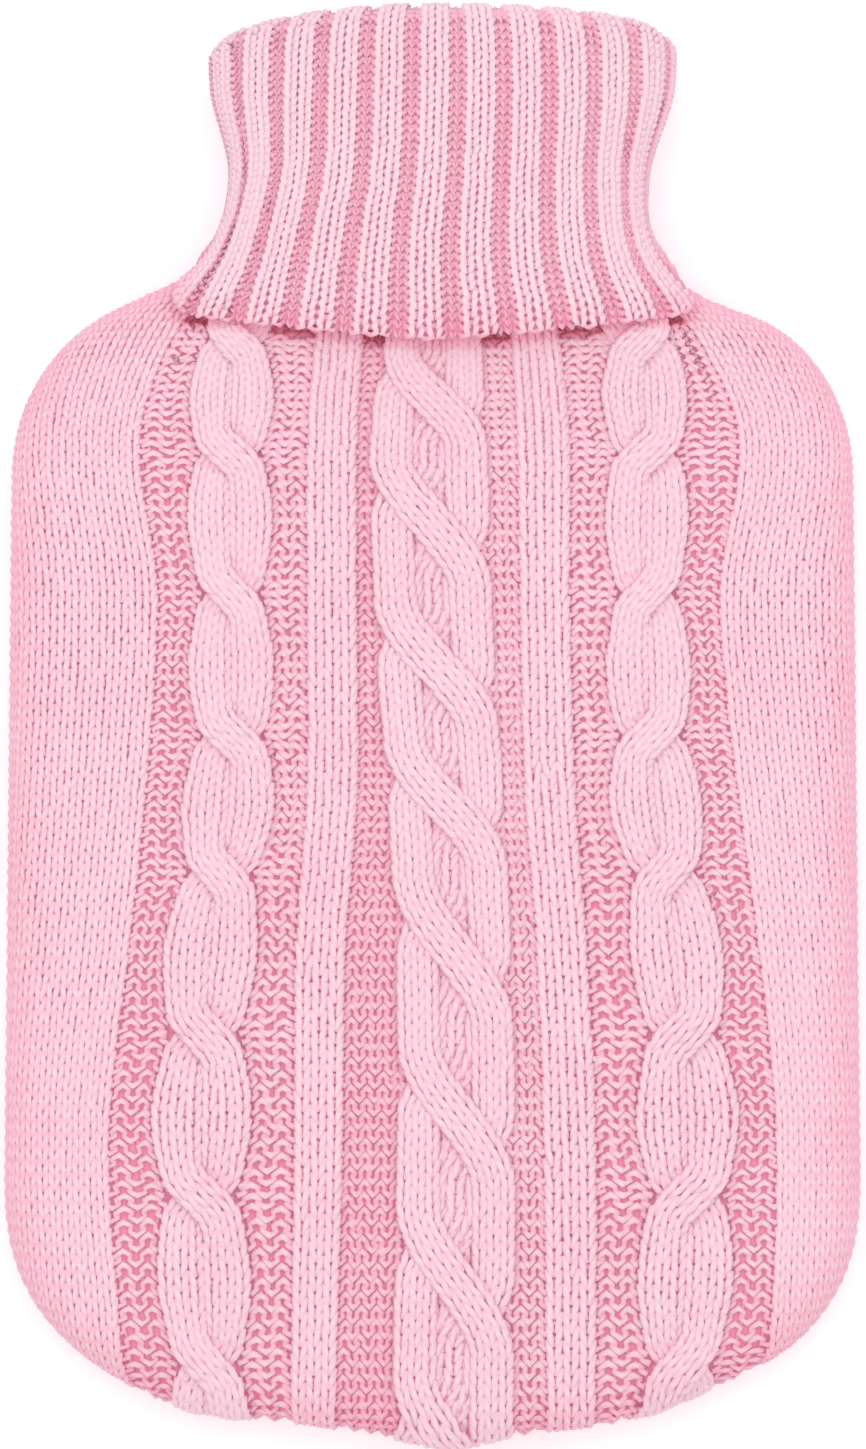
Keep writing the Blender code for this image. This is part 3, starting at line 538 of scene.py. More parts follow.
class Yarn:
    """Runs of round yarn, gathered into one mesh."""

    def __init__(self, radius, flatness, sides):
        turn = 2.0 * math.pi * (np.arange(sides) + 0.5) / sides
        self.cos, self.sin, self.sides = radius * np.cos(turn), radius * flatness * np.sin(turn), sides
        self.points, self.depths, self.steps = [], [], []
        self.quads, self.caps, self.count = [], [], 0

    def run(self, path, normal, depth):
        """Adds one run of yarn along a path of points, each with its depth in the cloth, which thins the
        yarn and sets its painted shade.
        """
        tangent = np.gradient(path, axis=0)
        side = unit(np.cross(tangent, normal))
        same_way = np.where((side[1:] * side[:-1]).sum(1) < 0.0, -1.0, 1.0)
        side[1:] *= np.cumprod(same_way)[:, None]
        up = unit(np.cross(side, tangent))
        out = side[:, None] * self.cos[None, :, None] + up[:, None] * self.sin[None, :, None]
        out *= (SWELL_TOP - SWELL_LOSS * np.minimum(depth, 1.0))[:, None, None]
        self.points.append((path[:, None] + out).reshape(-1, 3))
        self.depths.append(np.repeat(depth, self.sides))
        lengths = np.linalg.norm(np.diff(path, axis=0), axis=1)
        self.steps.append(np.concatenate(((0.0,), np.cumsum(lengths))))
        ring = np.arange(self.sides)
        first = self.count + np.arange(len(path) - 1)[:, None] * self.sides
        low, after = first + ring, first + (ring + 1) % self.sides
        self.quads.append(np.stack((low, low + self.sides, after + self.sides, after), -1).reshape(-1, 4))
        last = self.count + (len(path) - 1) * self.sides
        self.caps += [self.count + ring, last + ring[::-1]]
        self.count += len(path) * self.sides

    def rows(self, place, normal, depth, kept):
        """Adds each row's longest kept stretch."""
        for row in range(len(place)):
            changes = np.diff(np.concatenate(((False,), kept[row], (False,))).astype(int))
            stretches = np.flatnonzero(changes).reshape(-1, 2)
            if len(stretches):
                begin, end = stretches[np.argmax(stretches[:, 1] - stretches[:, 0])]
                if end - begin > SHORTEST_RUN:
                    self.run(place[row, begin:end], normal[row, begin:end], depth[row, begin:end])

    def maps(self):
        """Texture places of every face corner: in metres and turns, and packed into the unit square."""
        longest = max(steps[-1] for steps in self.steps)
        low = np.arange(self.sides) / self.sides
        high = low + 1.0 / self.sides
        tubes, ends = [], []
        for row, steps in enumerate(self.steps):
            shape = (len(steps) - 1, self.sides)
            begin, end = (np.broadcast_to(part[:, None], shape) for part in (steps[:-1], steps[1:]))
            below, above, number = (np.broadcast_to(part, shape) for part in (low, high, float(row)))
            corners = ((begin, below), (end, below), (end, above), (begin, above))
            faces = np.stack([np.stack((at, turn, number), -1) for at, turn in corners], 2)
            tubes.append(faces.reshape(-1, 3))
        for row, steps in enumerate(self.steps):
            for at, turn in ((0.0, low), (steps[-1], low[::-1])):
                number = np.full(self.sides, float(row))
                ends.append(np.column_stack((np.full(self.sides, at), turn, number)))
        places = np.concatenate(tubes + ends)
        packed = np.column_stack((places[:, 0] / longest, (places[:, 1] + places[:, 2]) / len(self.steps)))
        return {"Yarn": places[:, :2], "OFBake": packed}

    def build(self, name):
        """Makes the gathered runs one object."""
        quads, caps = np.concatenate(self.quads), np.array(self.caps)
        corners = np.concatenate((quads.ravel(), caps.ravel()))
        starts = np.concatenate((np.arange(len(quads)) * 4, quads.size + np.arange(len(caps)) * self.sides))
        depths = np.concatenate(self.depths)
        return add_mesh(name, np.concatenate(self.points), corners, starts, self.maps(), depths)


class Loops:
    """Rows of yarn loops in flat cloth: a row for each course and a column for each step along the yarn."""

    def __init__(self, wales, courses, knit, seed):
        steps = knit.steps
        turn = 2.0 * math.pi * np.arange(wales * steps + 1) / steps
        chance = np.random.default_rng(seed)
        knots = np.arange(2 * wales + 1) / 2.0

        def uneven():
            heights = chance.normal(0.0, knit.unevenness, (len(courses), len(knots)))
            return np.array([np.interp(turn / (2.0 * math.pi), knots, row) for row in heights])

        self.rise, self.leaning = np.cos(turn), knit.lean * np.sin(2.0 * turn)
        self.wale = turn / (2.0 * math.pi) + self.leaning + uneven()
        self.course = np.asarray(courses, float)[:, None] - knit.loop_height * self.rise + uneven()
        self.front = -np.cos(2.0 * turn) * (1.0 + uneven())
        self.wave = knit.loop_depth * self.front
        from_end = np.minimum(np.arange(len(turn)), np.arange(len(turn))[::-1])
        self.tuck = TUCK * np.clip(1.0 - from_end / TUCK_STEPS, 0.0, 1.0)

    def narrow(self, purl):
        """Stands the legs of purl stitches upright, so that their heads make one wave for each course."""
        self.wale = self.wale - PURL_NARROW * purl * self.leaning
        self.course = self.course - PURL_REACH * purl * self.rise


def banded(wales, values, wale):
    """The value of the band that a place lies in, counted in wales, with a soft step where bands meet."""
    ends = np.cumsum(wales)[:-1]
    at, read = [-1.0], [values[0]]
    for end, before, after in zip(ends, values, values[1:]):
        at += [end - BAND_SOFT, end + BAND_SOFT]
        read += [before, after]
    return np.interp(wale, at, read)


def depth_of(face, front, shade=0.0):
    """How deep yarn lies in the cloth, from 0 to 1, plus any painted shade: knit wales stand out and purl
    wales lie back.
    """
    return np.clip(DEPTH_MEAN - DEPTH_OF_FACE * face - DEPTH_OF_WAVE * face * front + shade, 0.0, 1.0)


def hem_shade(x, y, face):
    """Painted shadow on the stitches just under the hem, as extra depth, most of all in the furrows."""
    aside = np.abs(x - collar_measure("middle", HEM_FRONT_Y))
    side = np.minimum(aside / collar_measure("half_width", HEM_FRONT_Y), 1.0) ** (NECK_POWER / 2.0)
    near = fading(HEM_SHADE_FROM, HEM_SHADE_TO, hem_height(side) - y)
    dark = HEM_SHADE * (HEM_SHADE_MEAN - HEM_SHADE_OF_FACE * face)
    return dark * near * fading(HEM_SHADE_X, HEM_SHADE_END_X, aside)


def sunk(lift, y):
    """Height of the yarn over the ground, which sinks out of sight under the collar."""
    fade = relief_fade(y)
    return lift * fade + HIDDEN_LIFT * (1.0 - fade)


def knit_strip(yarn, strip, knit, seed):
    """Knits one strip of the front into the yarn."""
    bands, last_edge = STRIPS[strip]
    wales = [count for edge, count, kind in bands]
    last_course = SHOULDER_COURSE if "side" in strip else LAST_COURSE
    loops = Loops(sum(wales), np.arange(FIRST_COURSE, last_course + 1), knit, seed)
    faces = [KINDS[kind][0] for edge, count, kind in bands]
    loops.narrow(np.maximum(-banded(wales, faces, loops.wale), 0.0))
    cable_wale = sum(wales) if "cable" in last_edge else 0
    weight = np.clip(1.0 - np.abs(loops.wale - cable_wale) / PURL_WALES, 0.0, 1.0)
    into = from_crossing(loops.course)
    course = loops.course - weight * CROSSING_DRAW * into * np.exp(-(into / CROSSING_DRAW_REACH) ** 2)
    at = pattern_edges(course)
    edges = [at[edge] for edge, count, kind in bands] + [at[last_edge]]
    stops = np.concatenate(((0,), np.cumsum(wales)))
    x = edges[0]
    for number, (begin, end) in enumerate(zip(stops, stops[1:])):
        share = (loops.wale - begin) / (end - begin)
        here = edges[number] + (edges[number + 1] - edges[number]) * share
        x = here if number == 0 else np.where(loops.wale >= begin, here, x)
    y = course_y(course)
    face, base, shade = (
        banded(wales, [KINDS[kind][item] for edge, count, kind in bands], loops.wale) for item in range(3)
    )
    wave = face * loops.wave * np.where(face < 0.0, PURL_WAVE, 1.0)
    place, normal, from_seam = FRONT.lay(x, y, sunk(base, y), wave)
    # Painted shade towards the seam, and a painted shadow under the hem.
    shade = shade + SEAM_SHADE * fading(0.0, SEAM_SHADE_REACH, from_seam)
    depth = depth_of(face, loops.front, shade) + hem_shade(x, y, face)
    yarn.rows(place, normal, depth, from_seam > SEAM_TRIM)


def knit_strand(yarn, knit, seed, centre, lift_at, pitch, rounding):
    """Knits one strand of a cable or braid: a ribbon of three wales that follows its own centre line."""
    loops = Loops(STRAND_WALES, np.arange(FIRST_COURSE, LAST_COURSE + 1), knit, seed)
    course = loops.course
    above, below = course + STRAND_LEAN_REACH, course - STRAND_LEAN_REACH
    lean = STRAND_LEAN * (centre(above) - centre(below)) / (course_y(above) - course_y(below))
    steep = np.sqrt(1.0 + lean ** 2)
    across = (loops.wale - STRAND_WALES / 2.0) * pitch(course)
    x = centre(course) + across / steep
    y = course_y(course) - across * lean / steep
    outer = np.abs(loops.wale - STRAND_WALES / 2.0) / (STRAND_WALES / 2.0)
    lift = lift_at(course) - rounding * outer ** 2 - loops.tuck
    place, normal, from_seam = FRONT.lay(x, y, sunk(lift, y), loops.wave)
    # Painted shadow under the hem.
    depth = depth_of(1.0, loops.front) + hem_shade(x, y, 1.0)
    yarn.rows(place, normal, depth, from_seam > SEAM_TRIM)


def knit_cable(yarn, knit, side, seed):
    """Knits a two-strand cable, whose front strand runs up and outwards at each crossing."""
    begin, end = side + "_cable", side + "_cable_end"
    hand = 1.0 if side == "left" else -1.0

    def edges(course):
        at = pattern_edges(course)
        return (at[begin] + at[end]) / 2.0, (at[end] - at[begin]) / 2.0

    def add_strand(strand):
        def over(course):
            beat = np.round(course / COURSES_PER_CROSSING)
            return np.where((beat + strand) % 2 == 0, 1.0, -1.0)

        def centre(course):
            middle, half = edges(course)
            ahead = 1.0 - 2.0 * eased(-CABLE_HALF_TURN, CABLE_HALF_TURN, from_crossing(course))
            return middle + hand * over(course) * ahead * half / 2.0

        def lift_at(course):
            return CABLE_LIFT + CABLE_TURN_LIFT * over(course) * at_crossing(course, 2.0 * CABLE_HALF_TURN)

        def pitch(course):
            spread = CROSSING_SPREAD * at_crossing(course, CROSSING_SPREAD_REACH)
            return edges(course)[1] / STRAND_WALES * (1.0 + spread)

        knit_strand(yarn, knit, seed + strand, centre, lift_at, pitch, CABLE_ROUNDING)

    add_strand(0)
    add_strand(1)


def knit_braid(yarn, knit, seed):
    """Knits the three-strand braid. A strand steps left over the two others, and then back under them."""
    cycle = 3 * COURSES_PER_CROSSING

    def edges(course):
        at = pattern_edges(course)
        return (at["braid"] + at["braid_end"]) / 2.0, (at["braid_end"] - at["braid"]) / 3.0

    def add_strand(strand):
        def path(course):
            own = (course + strand * COURSES_PER_CROSSING) % cycle
            place = 1.0 + sum(step * eased(-reach, reach, own - at) for at, step, reach in BRAID_TURNS)
            over, under = (fading(low, high, np.abs(own - at))
                           for at, low, high in (BRAID_OVER, BRAID_UNDER))
            return place, under - over

        def centre(course):
            middle, third = edges(course)
            return middle + path(course)[0] * third

        def lift_at(course):
            return CABLE_LIFT - BRAID_TURN_LIFT * path(course)[1]

        def pitch(course):
            place, under = path(course)
            hidden = np.maximum(under, 0.0) * fading(BRAID_MIDDLE, BRAID_SIDE, np.abs(place))
            return edges(course)[1] / STRAND_WALES * (BRAID_FILL + BRAID_UNDER_FILL * hidden)

        knit_strand(yarn, knit, seed + strand, centre, lift_at, pitch, BRAID_ROUNDING)

    def behind(course):
        return edges(course)[0]

    def behind_lift(course):
        return np.full_like(course, BRAID_BACK_LIFT)

    def behind_pitch(course):
        return edges(course)[1] / STRAND_WALES * BRAID_BACK_FILL

    for number in range(3):
        add_strand(number)
    knit_strand(yarn, knit, seed + 3, behind, behind_lift, behind_pitch, 0.0)


def knit_collar(yarn, knit, first_share, last_share, seed):
    """Knits part of the way round the ribbed collar, from its hem up and over the fold."""
    wales_round = RIBS_ROUND * WALES_A_RIB
    first, last = round(first_share * wales_round), round(last_share * wales_round)
    courses = int((FOLD_END + knit.turn_in) / knit.course_pitch)
    loops = Loops(last - first, np.arange(courses), knit, seed)
    half = WALES_A_RIB / 2.0

    def knit_side(within):
        at = (0.0, BAND_SOFT, half - BAND_SOFT, half + BAND_SOFT, WALES_A_RIB - BAND_SOFT, WALES_A_RIB)
        return np.interp(within, at, (0.5, 1.0, 1.0, 0.0, 0.0, 0.5))

    loops.narrow(1.0 - knit_side((loops.wale + first) % WALES_A_RIB))
    rib, within = np.divmod(loops.wale + first, WALES_A_RIB)
    share = rib + np.interp(within, (0.0, half, WALES_A_RIB), (0.0, KNIT_SHARE, 1.0)) - KNIT_SHARE / 2.0
    share = (share + RIB_PHASE) / RIBS_ROUND
    knit_face = knit_side(within)
    near_hem = fading(0.0, HEM_COURSES, loops.course)
    up = (loops.course + knit.loop_height) * knit.course_pitch - near_hem * knit_face * HEM_DROP
    wave = (2.0 * knit_face - 1.0) * loops.wave * (PURL_WAVE + (1.0 - PURL_WAVE) * knit_face)
    lift = COLLAR_YARN_LIFT - knit.rib_depth * (1.0 - knit_face) + wave
    lift = lift + near_hem * (knit_face * HEM_ROLL - HEM_SINK)
    place, normal = collar_lay(share, up, lift)
    place[..., 2] = np.maximum(place[..., 2], knit.radius)
    # Painted shade: deeper in the purl stripes and on the flanks of the collar; the hem courses are also
    # darker.
    flank = np.abs(np.cos(even_turns(share))) ** FLANK_POWER
    shade = COLLAR_SHADE - COLLAR_SHADE_OF_FACE * knit_face
    shade = shade + COLLAR_HEM_SHADE * near_hem + FLANK_SHADE * flank
    depth = depth_of(2.0 * knit_face - 1.0, loops.front, shade)
    yarn.rows(place, normal, depth, np.ones(loops.wale.shape, bool))


# ---------------------------------------------------------------- cloth


def thick_sheet(name, outer, inner, quads, flat):
    """A closed thin sheet from two layers of points that share their faces."""
    edges = np.concatenate([quads[:, [k, (k + 1) % 4]] for k in range(4)])
    key = np.sort(edges, axis=1) @ np.array((len(outer), 1))
    first, times = np.unique(key, return_index=True, return_counts=True)[1:]
    rim = edges[first[times == 1]]
    shift = len(outer)
    walls = np.column_stack((rim[:, 1], rim[:, 0], rim[:, 0] + shift, rim[:, 1] + shift))
    faces = np.concatenate((quads, quads[:, ::-1] + shift, walls))
    places = np.concatenate((flat, flat))[faces.ravel()]
    return add_mesh(name, np.concatenate((outer, inner)), faces.ravel(), np.arange(len(faces)) * 4,
                    {"Cloth": places}, np.ones(2 * shift))


def grid_quads(rows, columns, closed):
    """Faces of a grid of points, joined round its columns where it is closed."""
    row = np.arange(rows - 1)[:, None] * columns
    column = np.arange(columns if closed else columns - 1)
    after = (column + 1) % columns
    corners = (row + column, row + after, row + columns + after, row + columns + column)
    return np.stack(corners, -1).reshape(-1, 4)


def trimmed_grid(side, step_x, step_y):
    """Flat points of a panel trimmed at its seam, the faces that are left, and how many points a row has."""
    reach = math.ceil((LOWER_HALF_WIDTH + side.spare) / step_x) + 1
    rows = math.ceil((NECK_Y - OUTLINE[:, 1].min() + side.spare) / step_y) + 2
    columns = 2 * reach + 1
    x, y = np.meshgrid(np.arange(-reach, reach + 1) * step_x, NECK_Y - np.arange(rows)[::-1] * step_y)
    distance, outward = nearest_edge(x.ravel(), y.ravel())
    beyond = np.minimum(distance + side.spare, 0.0)
    quads = grid_quads(rows, columns, False)
    quads = quads[(beyond[quads] >= -1e-9).any(1)]
    return np.column_stack((x.ravel(), y.ravel())) + outward * beyond[:, None], quads, columns


def compact(quads, *layers):
    """Drops the points that no face uses."""
    used, numbers = np.unique(quads, return_inverse=True)
    return (numbers.reshape(quads.shape),) + tuple(layer[used] for layer in layers)


def quad_area(points, quads):
    """Area of flat quads."""
    a, b, c, d = (points[quads[:, k]] for k in range(4))
    p, q = c - a, d - b
    return 0.5 * np.abs(p[:, 0] * q[:, 1] - p[:, 1] * q[:, 0]).sum()


def panel_cloth(name, side):
    """The ground of a panel: a thin closed sheet that reaches the seam, with its flat size and area."""
    flat, quads = trimmed_grid(side, CLOTH_STEP, CLOTH_STEP)[:2]
    quads, flat = compact(quads, flat)
    depth = np.full(len(flat), CLOTH_DEPTH)
    outer = side.lay(flat[:, 0], flat[:, 1], -depth)[0]
    inner = side.lay(flat[:, 0], flat[:, 1], -depth - CLOTH_THICK)[0]
    if side.up < 0.0:
        quads = quads[:, ::-1]
    sheet = thick_sheet(name, outer, inner, quads, flat)
    return sheet, np.ptp(flat, axis=0), quad_area(flat, quads)


def stockinette(name, side, knit):
    """The plain back: columns of V-shaped stitches, pressed out of one fine sheet."""
    steps = knit.wale_pitch / POINTS_A_STITCH, knit.course_pitch / POINTS_A_STITCH
    flat, quads, columns = trimmed_grid(side, *steps)
    column = (np.arange(len(flat)) % columns - columns // 2) % POINTS_A_STITCH
    row = (np.arange(len(flat)) // columns) % POINTS_A_STITCH
    leg = np.array(LEG_ACROSS)[column] * np.array(LEG_UP)[row]
    lean = np.array(LEAN_ACROSS)[column] * np.array(LEAN_UP)[row]
    uneven = 1.0 + np.random.default_rng(knit.seed).normal(0.0, BACK_UNEVENNESS, len(flat))
    lift = knit.depth * (leg * uneven - 1.0) - BACK_SINK
    flat = flat + np.column_stack((knit.lean * knit.wale_pitch * lean, np.zeros(len(flat))))
    quads, flat, lift, leg = compact(quads, flat, lift, leg)
    points = side.lay(flat[:, 0], flat[:, 1], lift)[0]
    points[:, 2] = np.maximum(points[:, 2], BACK_LOWEST_Z)
    faces = quads[:, ::-1]
    packed = (flat - flat.min(0)) / np.ptp(flat, axis=0).max()
    maps = {"Cloth": flat[faces.ravel()], "OFBake": packed[faces.ravel()]}
    # The finish paints shade where the sheet lies low between the legs.
    return add_mesh(name, points, faces.ravel(), np.arange(len(faces)) * 4, maps, 1.0 - leg)


def collar_cloth(name, knit):
    """The ground of the collar: one thin closed sheet from the hem over the fold and down to the neck."""
    columns, rows = RIBS_ROUND * WALES_A_RIB, COLLAR_CLOTH_ROWS
    length = FOLD_END + RIM_TOP_Y - RIM_DIP - FOLD_BEND - NECK_Y
    share, up = np.meshgrid(np.arange(columns) / columns, np.linspace(HEM_INSET, length, rows))
    ribbing = 0.5 + 0.5 * np.cos(2.0 * math.pi * (share * RIBS_ROUND - RIB_PHASE))
    turned_in = eased(0.0, TURNED_IN_REACH, up - (COLLAR_HEIGHT + 2.0 * FOLD_BEND))
    lift = -COLLAR_CLOTH_DEPTH - (FURROW_DEPTH - RIB_FILL * ribbing)
    lift = lift + turned_in * (TURNED_IN_LIFT + TURNED_IN_RELIEF * ribbing)
    outer = collar_lay(share, up, lift)[0].reshape(-1, 3)
    inner = collar_lay(share, up, lift - COLLAR_CLOTH_THICK)[0].reshape(-1, 3)
    flat = np.column_stack((share.ravel() * knit.girth, up.ravel()))
    quads = grid_quads(rows, columns, True)[:, ::-1]
    return thick_sheet(name, outer, inner, quads, flat), (knit.girth, length)


# ---------------------------------------------------------------- finishes


class Reading:
    """A socket of numbers, with arithmetic that adds its own Math nodes."""

    def __init__(self, finish, socket):
        self.finish, self.socket = finish, socket

    def maths(self, operation, *values):
        """The result of one Math node on this and other values."""
        node = self.finish.add("ShaderNodeMath", {"operation": operation}, dict(enumerate((self,) + values)))
        return Reading(self.finish, node.outputs[0])

    def __add__(self, other):
        return self.maths("ADD", other)

    def __mul__(self, other):
        return self.maths("MULTIPLY", other)

    def __sub__(self, other):
        return self.maths("SUBTRACT", other)

    def __rsub__(self, other):
        return self * -1.0 + other

    __radd__ = __add__
    __rmul__ = __mul__


class Finish:
    """A material that is built up node by node."""

    def __init__(self, name):
        self.material = bpy.data.materials.new(name)
        self.material.use_nodes = True
        self.tree = self.material.node_tree
        self.shader = self.tree.nodes["Principled BSDF"]

    def add(self, kind, settings, values):
        """Adds a node, with its settings and the values or links of its sockets."""
        node = self.tree.nodes.new(kind)
        for name, value in settings.items():
            setattr(node, name, value)
        for name, value in values.items():
            self.give(node.inputs[name], value)
        return node

    def give(self, socket, value):
        """Sets a socket, or links it to a reading or another socket."""
        if isinstance(value, Reading):
            value = value.socket
        if isinstance(value, bpy.types.NodeSocket):
            self.tree.links.new(value, socket)
        else:
            socket.default_value = value

    def surface(self, **values):
        """Sets or links sockets of the surface's shader."""
        for name, value in values.items():
            self.give(self.shader.inputs[name.replace("_", " ")], value)

    def places(self):
        """Places in the object's own space."""
        return self.add("ShaderNodeTexCoord", {}, {}).outputs["Object"]

    def noise(self, vector, scale, detail):
        """Soft noise of that many blotches a metre."""
        node = self.add("ShaderNodeTexNoise", {}, {"Vector": vector, "Scale": scale, "Detail": detail})
        return Reading(self, node.outputs[0])

    def mix(self, factor, first, second):
        """A colour between two colours."""
        node = self.add("ShaderNodeMix", {"data_type": "RGBA"}, {0: factor, 6: first, 7: second})
        return node.outputs[2]


def yarn_finish(name, map_name):
    """Soft acrylic yarn: two twisted plies under a fine fuzz, in a pink that varies a little, with painted
    shade, a painted shadow under the hem and a painted glow.
    """
    colours = bpy.context.scene.cover_colours
    finish = Finish(name)
    places = finish.places()
    # Depth carries painted shade: the yarn turns deeper pink where it lies low, mixed with random blotches
    # and fuzz.
    depth = Reading(finish, finish.add("ShaderNodeAttribute", {"attribute_name": "Depth"}, {}).outputs[2])
    patches = finish.noise(places, PATCH_SCALE, 2.0) * PATCH_SHARE
    blotches = patches + finish.noise(places, TUFT_SCALE, 2.0) * TUFT_SHARE - BLOTCH_LEVEL
    fuzz = finish.noise(places, FUZZ_SCALE, 2.0) * FUZZ_SHARE - FUZZ_SHARE / 2.0
    shade_and_blotches = (depth + blotches + fuzz).maths("MAXIMUM", 0.0)
    along = finish.add("ShaderNodeUVMap", {"uv_map": map_name}, {}).outputs[0]
    split = finish.add("ShaderNodeSeparateXYZ", {}, {0: along})
    turns = Reading(finish, split.outputs[0]) * (math.pi / colours.ply_pitch)
    plies = (turns + Reading(finish, split.outputs[1]) * (2.0 * math.pi)).maths("SINE").maths("ABSOLUTE")
    relief = plies * PLY_RELIEF + finish.noise(places, FIBRE_SCALE, 3.0) * FIBRE_RELIEF
    heights = {"Height": relief, "Distance": YARN_RELIEF, "Strength": YARN_BUMP}
    bump = finish.add("ShaderNodeBump", {}, heights)
    # Past a depth of 1 the yarn takes the painted shadow under the hem.
    shaded = depth - 1.0
    shaded_and_blotched_colour = finish.mix(shade_and_blotches.maths("MINIMUM", 1.0), colours.light, colours.deep)
    # The hollow colour glows a little everywhere: a painted glow that lightens the shade.
    finish.surface(
        Base_Color=finish.mix(shaded.socket, shaded_and_blotched_colour, colours.shadow),
        Roughness=colours.roughness, Specular_IOR_Level=YARN_SHINE, Normal=bump.outputs[0],
        Sheen_Weight=colours.sheen, Sheen_Roughness=SHEEN_ROUGHNESS, Sheen_Tint=SHEEN_TINT,
        Emission_Color=finish.mix(shaded.socket, colours.hollow, colours.shadow),
        Emission_Strength=colours.glow,
    )
    return finish.material


def cloth_finish(name):
    """The loops deep in the cloth, in a warmer, deeper pink than the yarn on top: painted shade between the
    stitches, with a painted glow.
    """
    colours = bpy.context.scene.cover_colours
    finish = Finish(name)
    places = finish.places()
    relief = finish.noise(places, DEEP_FIBRE_SCALE, 3.0)
    bump = finish.add("ShaderNodeBump", {}, {"Height": relief, "Distance": DEEP_RELIEF})
    # Painted shade in the hollow and deep colours, and a painted glow.
    finish.surface(
        Base_Color=finish.mix(finish.noise(places, DEEP_TUFT_SCALE, 3.0), colours.hollow, colours.deep),
        Roughness=colours.roughness, Specular_IOR_Level=DEEP_SHINE, Normal=bump.outputs[0],
        Emission_Color=colours.hollow, Emission_Strength=colours.glow,
    )
    return finish.material


def dress(piece, material):
    """Gives a piece its finish and its body."""
    piece.data.materials.clear()
    piece.data.materials.append(material)
    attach(piece, "root")


# ---------------------------------------------------------------- sizes and colours


def length_setting(name, description, millimetres):
    """A length that a user may change."""
    return FloatProperty(name=name, description=description, default=millimetres * MM, unit="LENGTH",
                         precision=5)


def share_setting(name, description, default):
    """A plain number from 0 to 2."""
    return FloatProperty(name=name, description=description, default=default, min=0.0, max=2.0)


def count_setting(name, description, default):
    """A whole number."""
    return IntProperty(name=name, description=description, default=default, min=1)


def colour_setting(name, description, default):
    """A colour that a user may change."""
    return FloatVectorProperty(name=name, description=description, subtype="COLOR", size=4, min=0.0, max=1.0,
                               default=default + (1.0,))


class KnitSettings(bpy.types.PropertyGroup):
    """Size and shape of one stitch of the body."""

    radius: length_setting("Yarn radius", "Half the thickness of the yarn, across the cloth", 0.88)
    flatness: share_setting("Flatness", "Thickness of the yarn, as a share of its width", 0.82)
    lean: share_setting("Lean", "How far the legs of a stitch lean outwards, in wales", 0.25)
    loop_height: share_setting("Loop height", "Half the height of a loop, in courses", 0.9)
    loop_depth: length_setting("Loop depth", "How far the yarn weaves in and out of the cloth", 0.5)
    unevenness: share_setting("Unevenness", "How unevenly the stitches lie, in wales", 0.042)
    steps: count_setting("Steps", "Points of the yarn in each stitch", 8)
    sides: count_setting("Sides", "Sides of the yarn", 5)


class CollarSettings(bpy.types.PropertyGroup):
    """Size of the stitches of the collar."""

    radius: length_setting("Yarn radius", "Half the thickness of the yarn, across the cloth", 1.0)
    flatness: share_setting("Flatness", "Thickness of the yarn, as a share of its width", 0.74)
    lean: share_setting("Lean", "How far the legs of a stitch lean outwards, in wales", 0.2)
    loop_height: share_setting("Loop height", "Half the height of a loop, in courses", 0.85)
    loop_depth: length_setting("Loop depth", "How far the yarn weaves in and out of the cloth", 0.5)
    unevenness: share_setting("Unevenness", "How unevenly the stitches lie, in wales", 0.04)
    steps: count_setting("Steps", "Points of the yarn in each stitch", 7)
    sides: count_setting("Sides", "Sides of the yarn", 4)
    course_pitch: length_setting("Course pitch", "Height of a course of the collar", 2.06)
    rib_depth: length_setting("Rib depth", "How far the furrows lie below the ribs", 1.1)
    turn_in: length_setting("Turn-in", "How far the modelled stitches go down inside the mouth", 6.0)
    girth: length_setting("Girth", "Length round the collar when it is laid flat", 272.0)


class BackSettings(bpy.types.PropertyGroup):
    """Size of the stitches of the plain back."""

    wale_pitch: length_setting("Wale pitch", "Width of a stitch", 3.6)
    course_pitch: length_setting("Course pitch", "Height of a stitch", 3.15)
    depth: length_setting("Depth", "How deep the stitches are pressed", 1.2)
    lean: share_setting("Lean", "How far the legs of a stitch lean outwards, in wales", 0.09)
    seed: count_setting("Seed", "Which unevenness is drawn", 5)


class ColourSettings(bpy.types.PropertyGroup):
    """Colours and gloss of the yarn, with its painted shade, painted shadow and painted glow."""

    light: colour_setting("Light yarn", "Where the fuzz catches the light", (0.77, 0.588, 0.644))
    # Painted shade: the colour of yarn that lies deep in the cloth.
    deep: colour_setting("Deep yarn", "Between the fibres", (0.775, 0.33, 0.43))
    # Painted shade of the hollows between stitches, which is also the colour of the painted glow.
    hollow: colour_setting("Hollows", "Deep in the cloth", (0.82, 0.34, 0.51))
    shadow: colour_setting("Shadow", "Under the hem of the collar", (0.42, 0.08, 0.12))
    roughness: share_setting("Roughness", "How matt the yarn is", 0.85)
    sheen: share_setting("Sheen", "How much light the fuzz catches at its edge", 0.12)
    # Painted glow: emission that lightens the yarn's shade everywhere.
    glow: share_setting("Glow", "How much light comes through from inside the yarn", 0.17)
    ply_pitch: length_setting("Ply pitch", "Length of one turn of the twisted plies", 3.2)


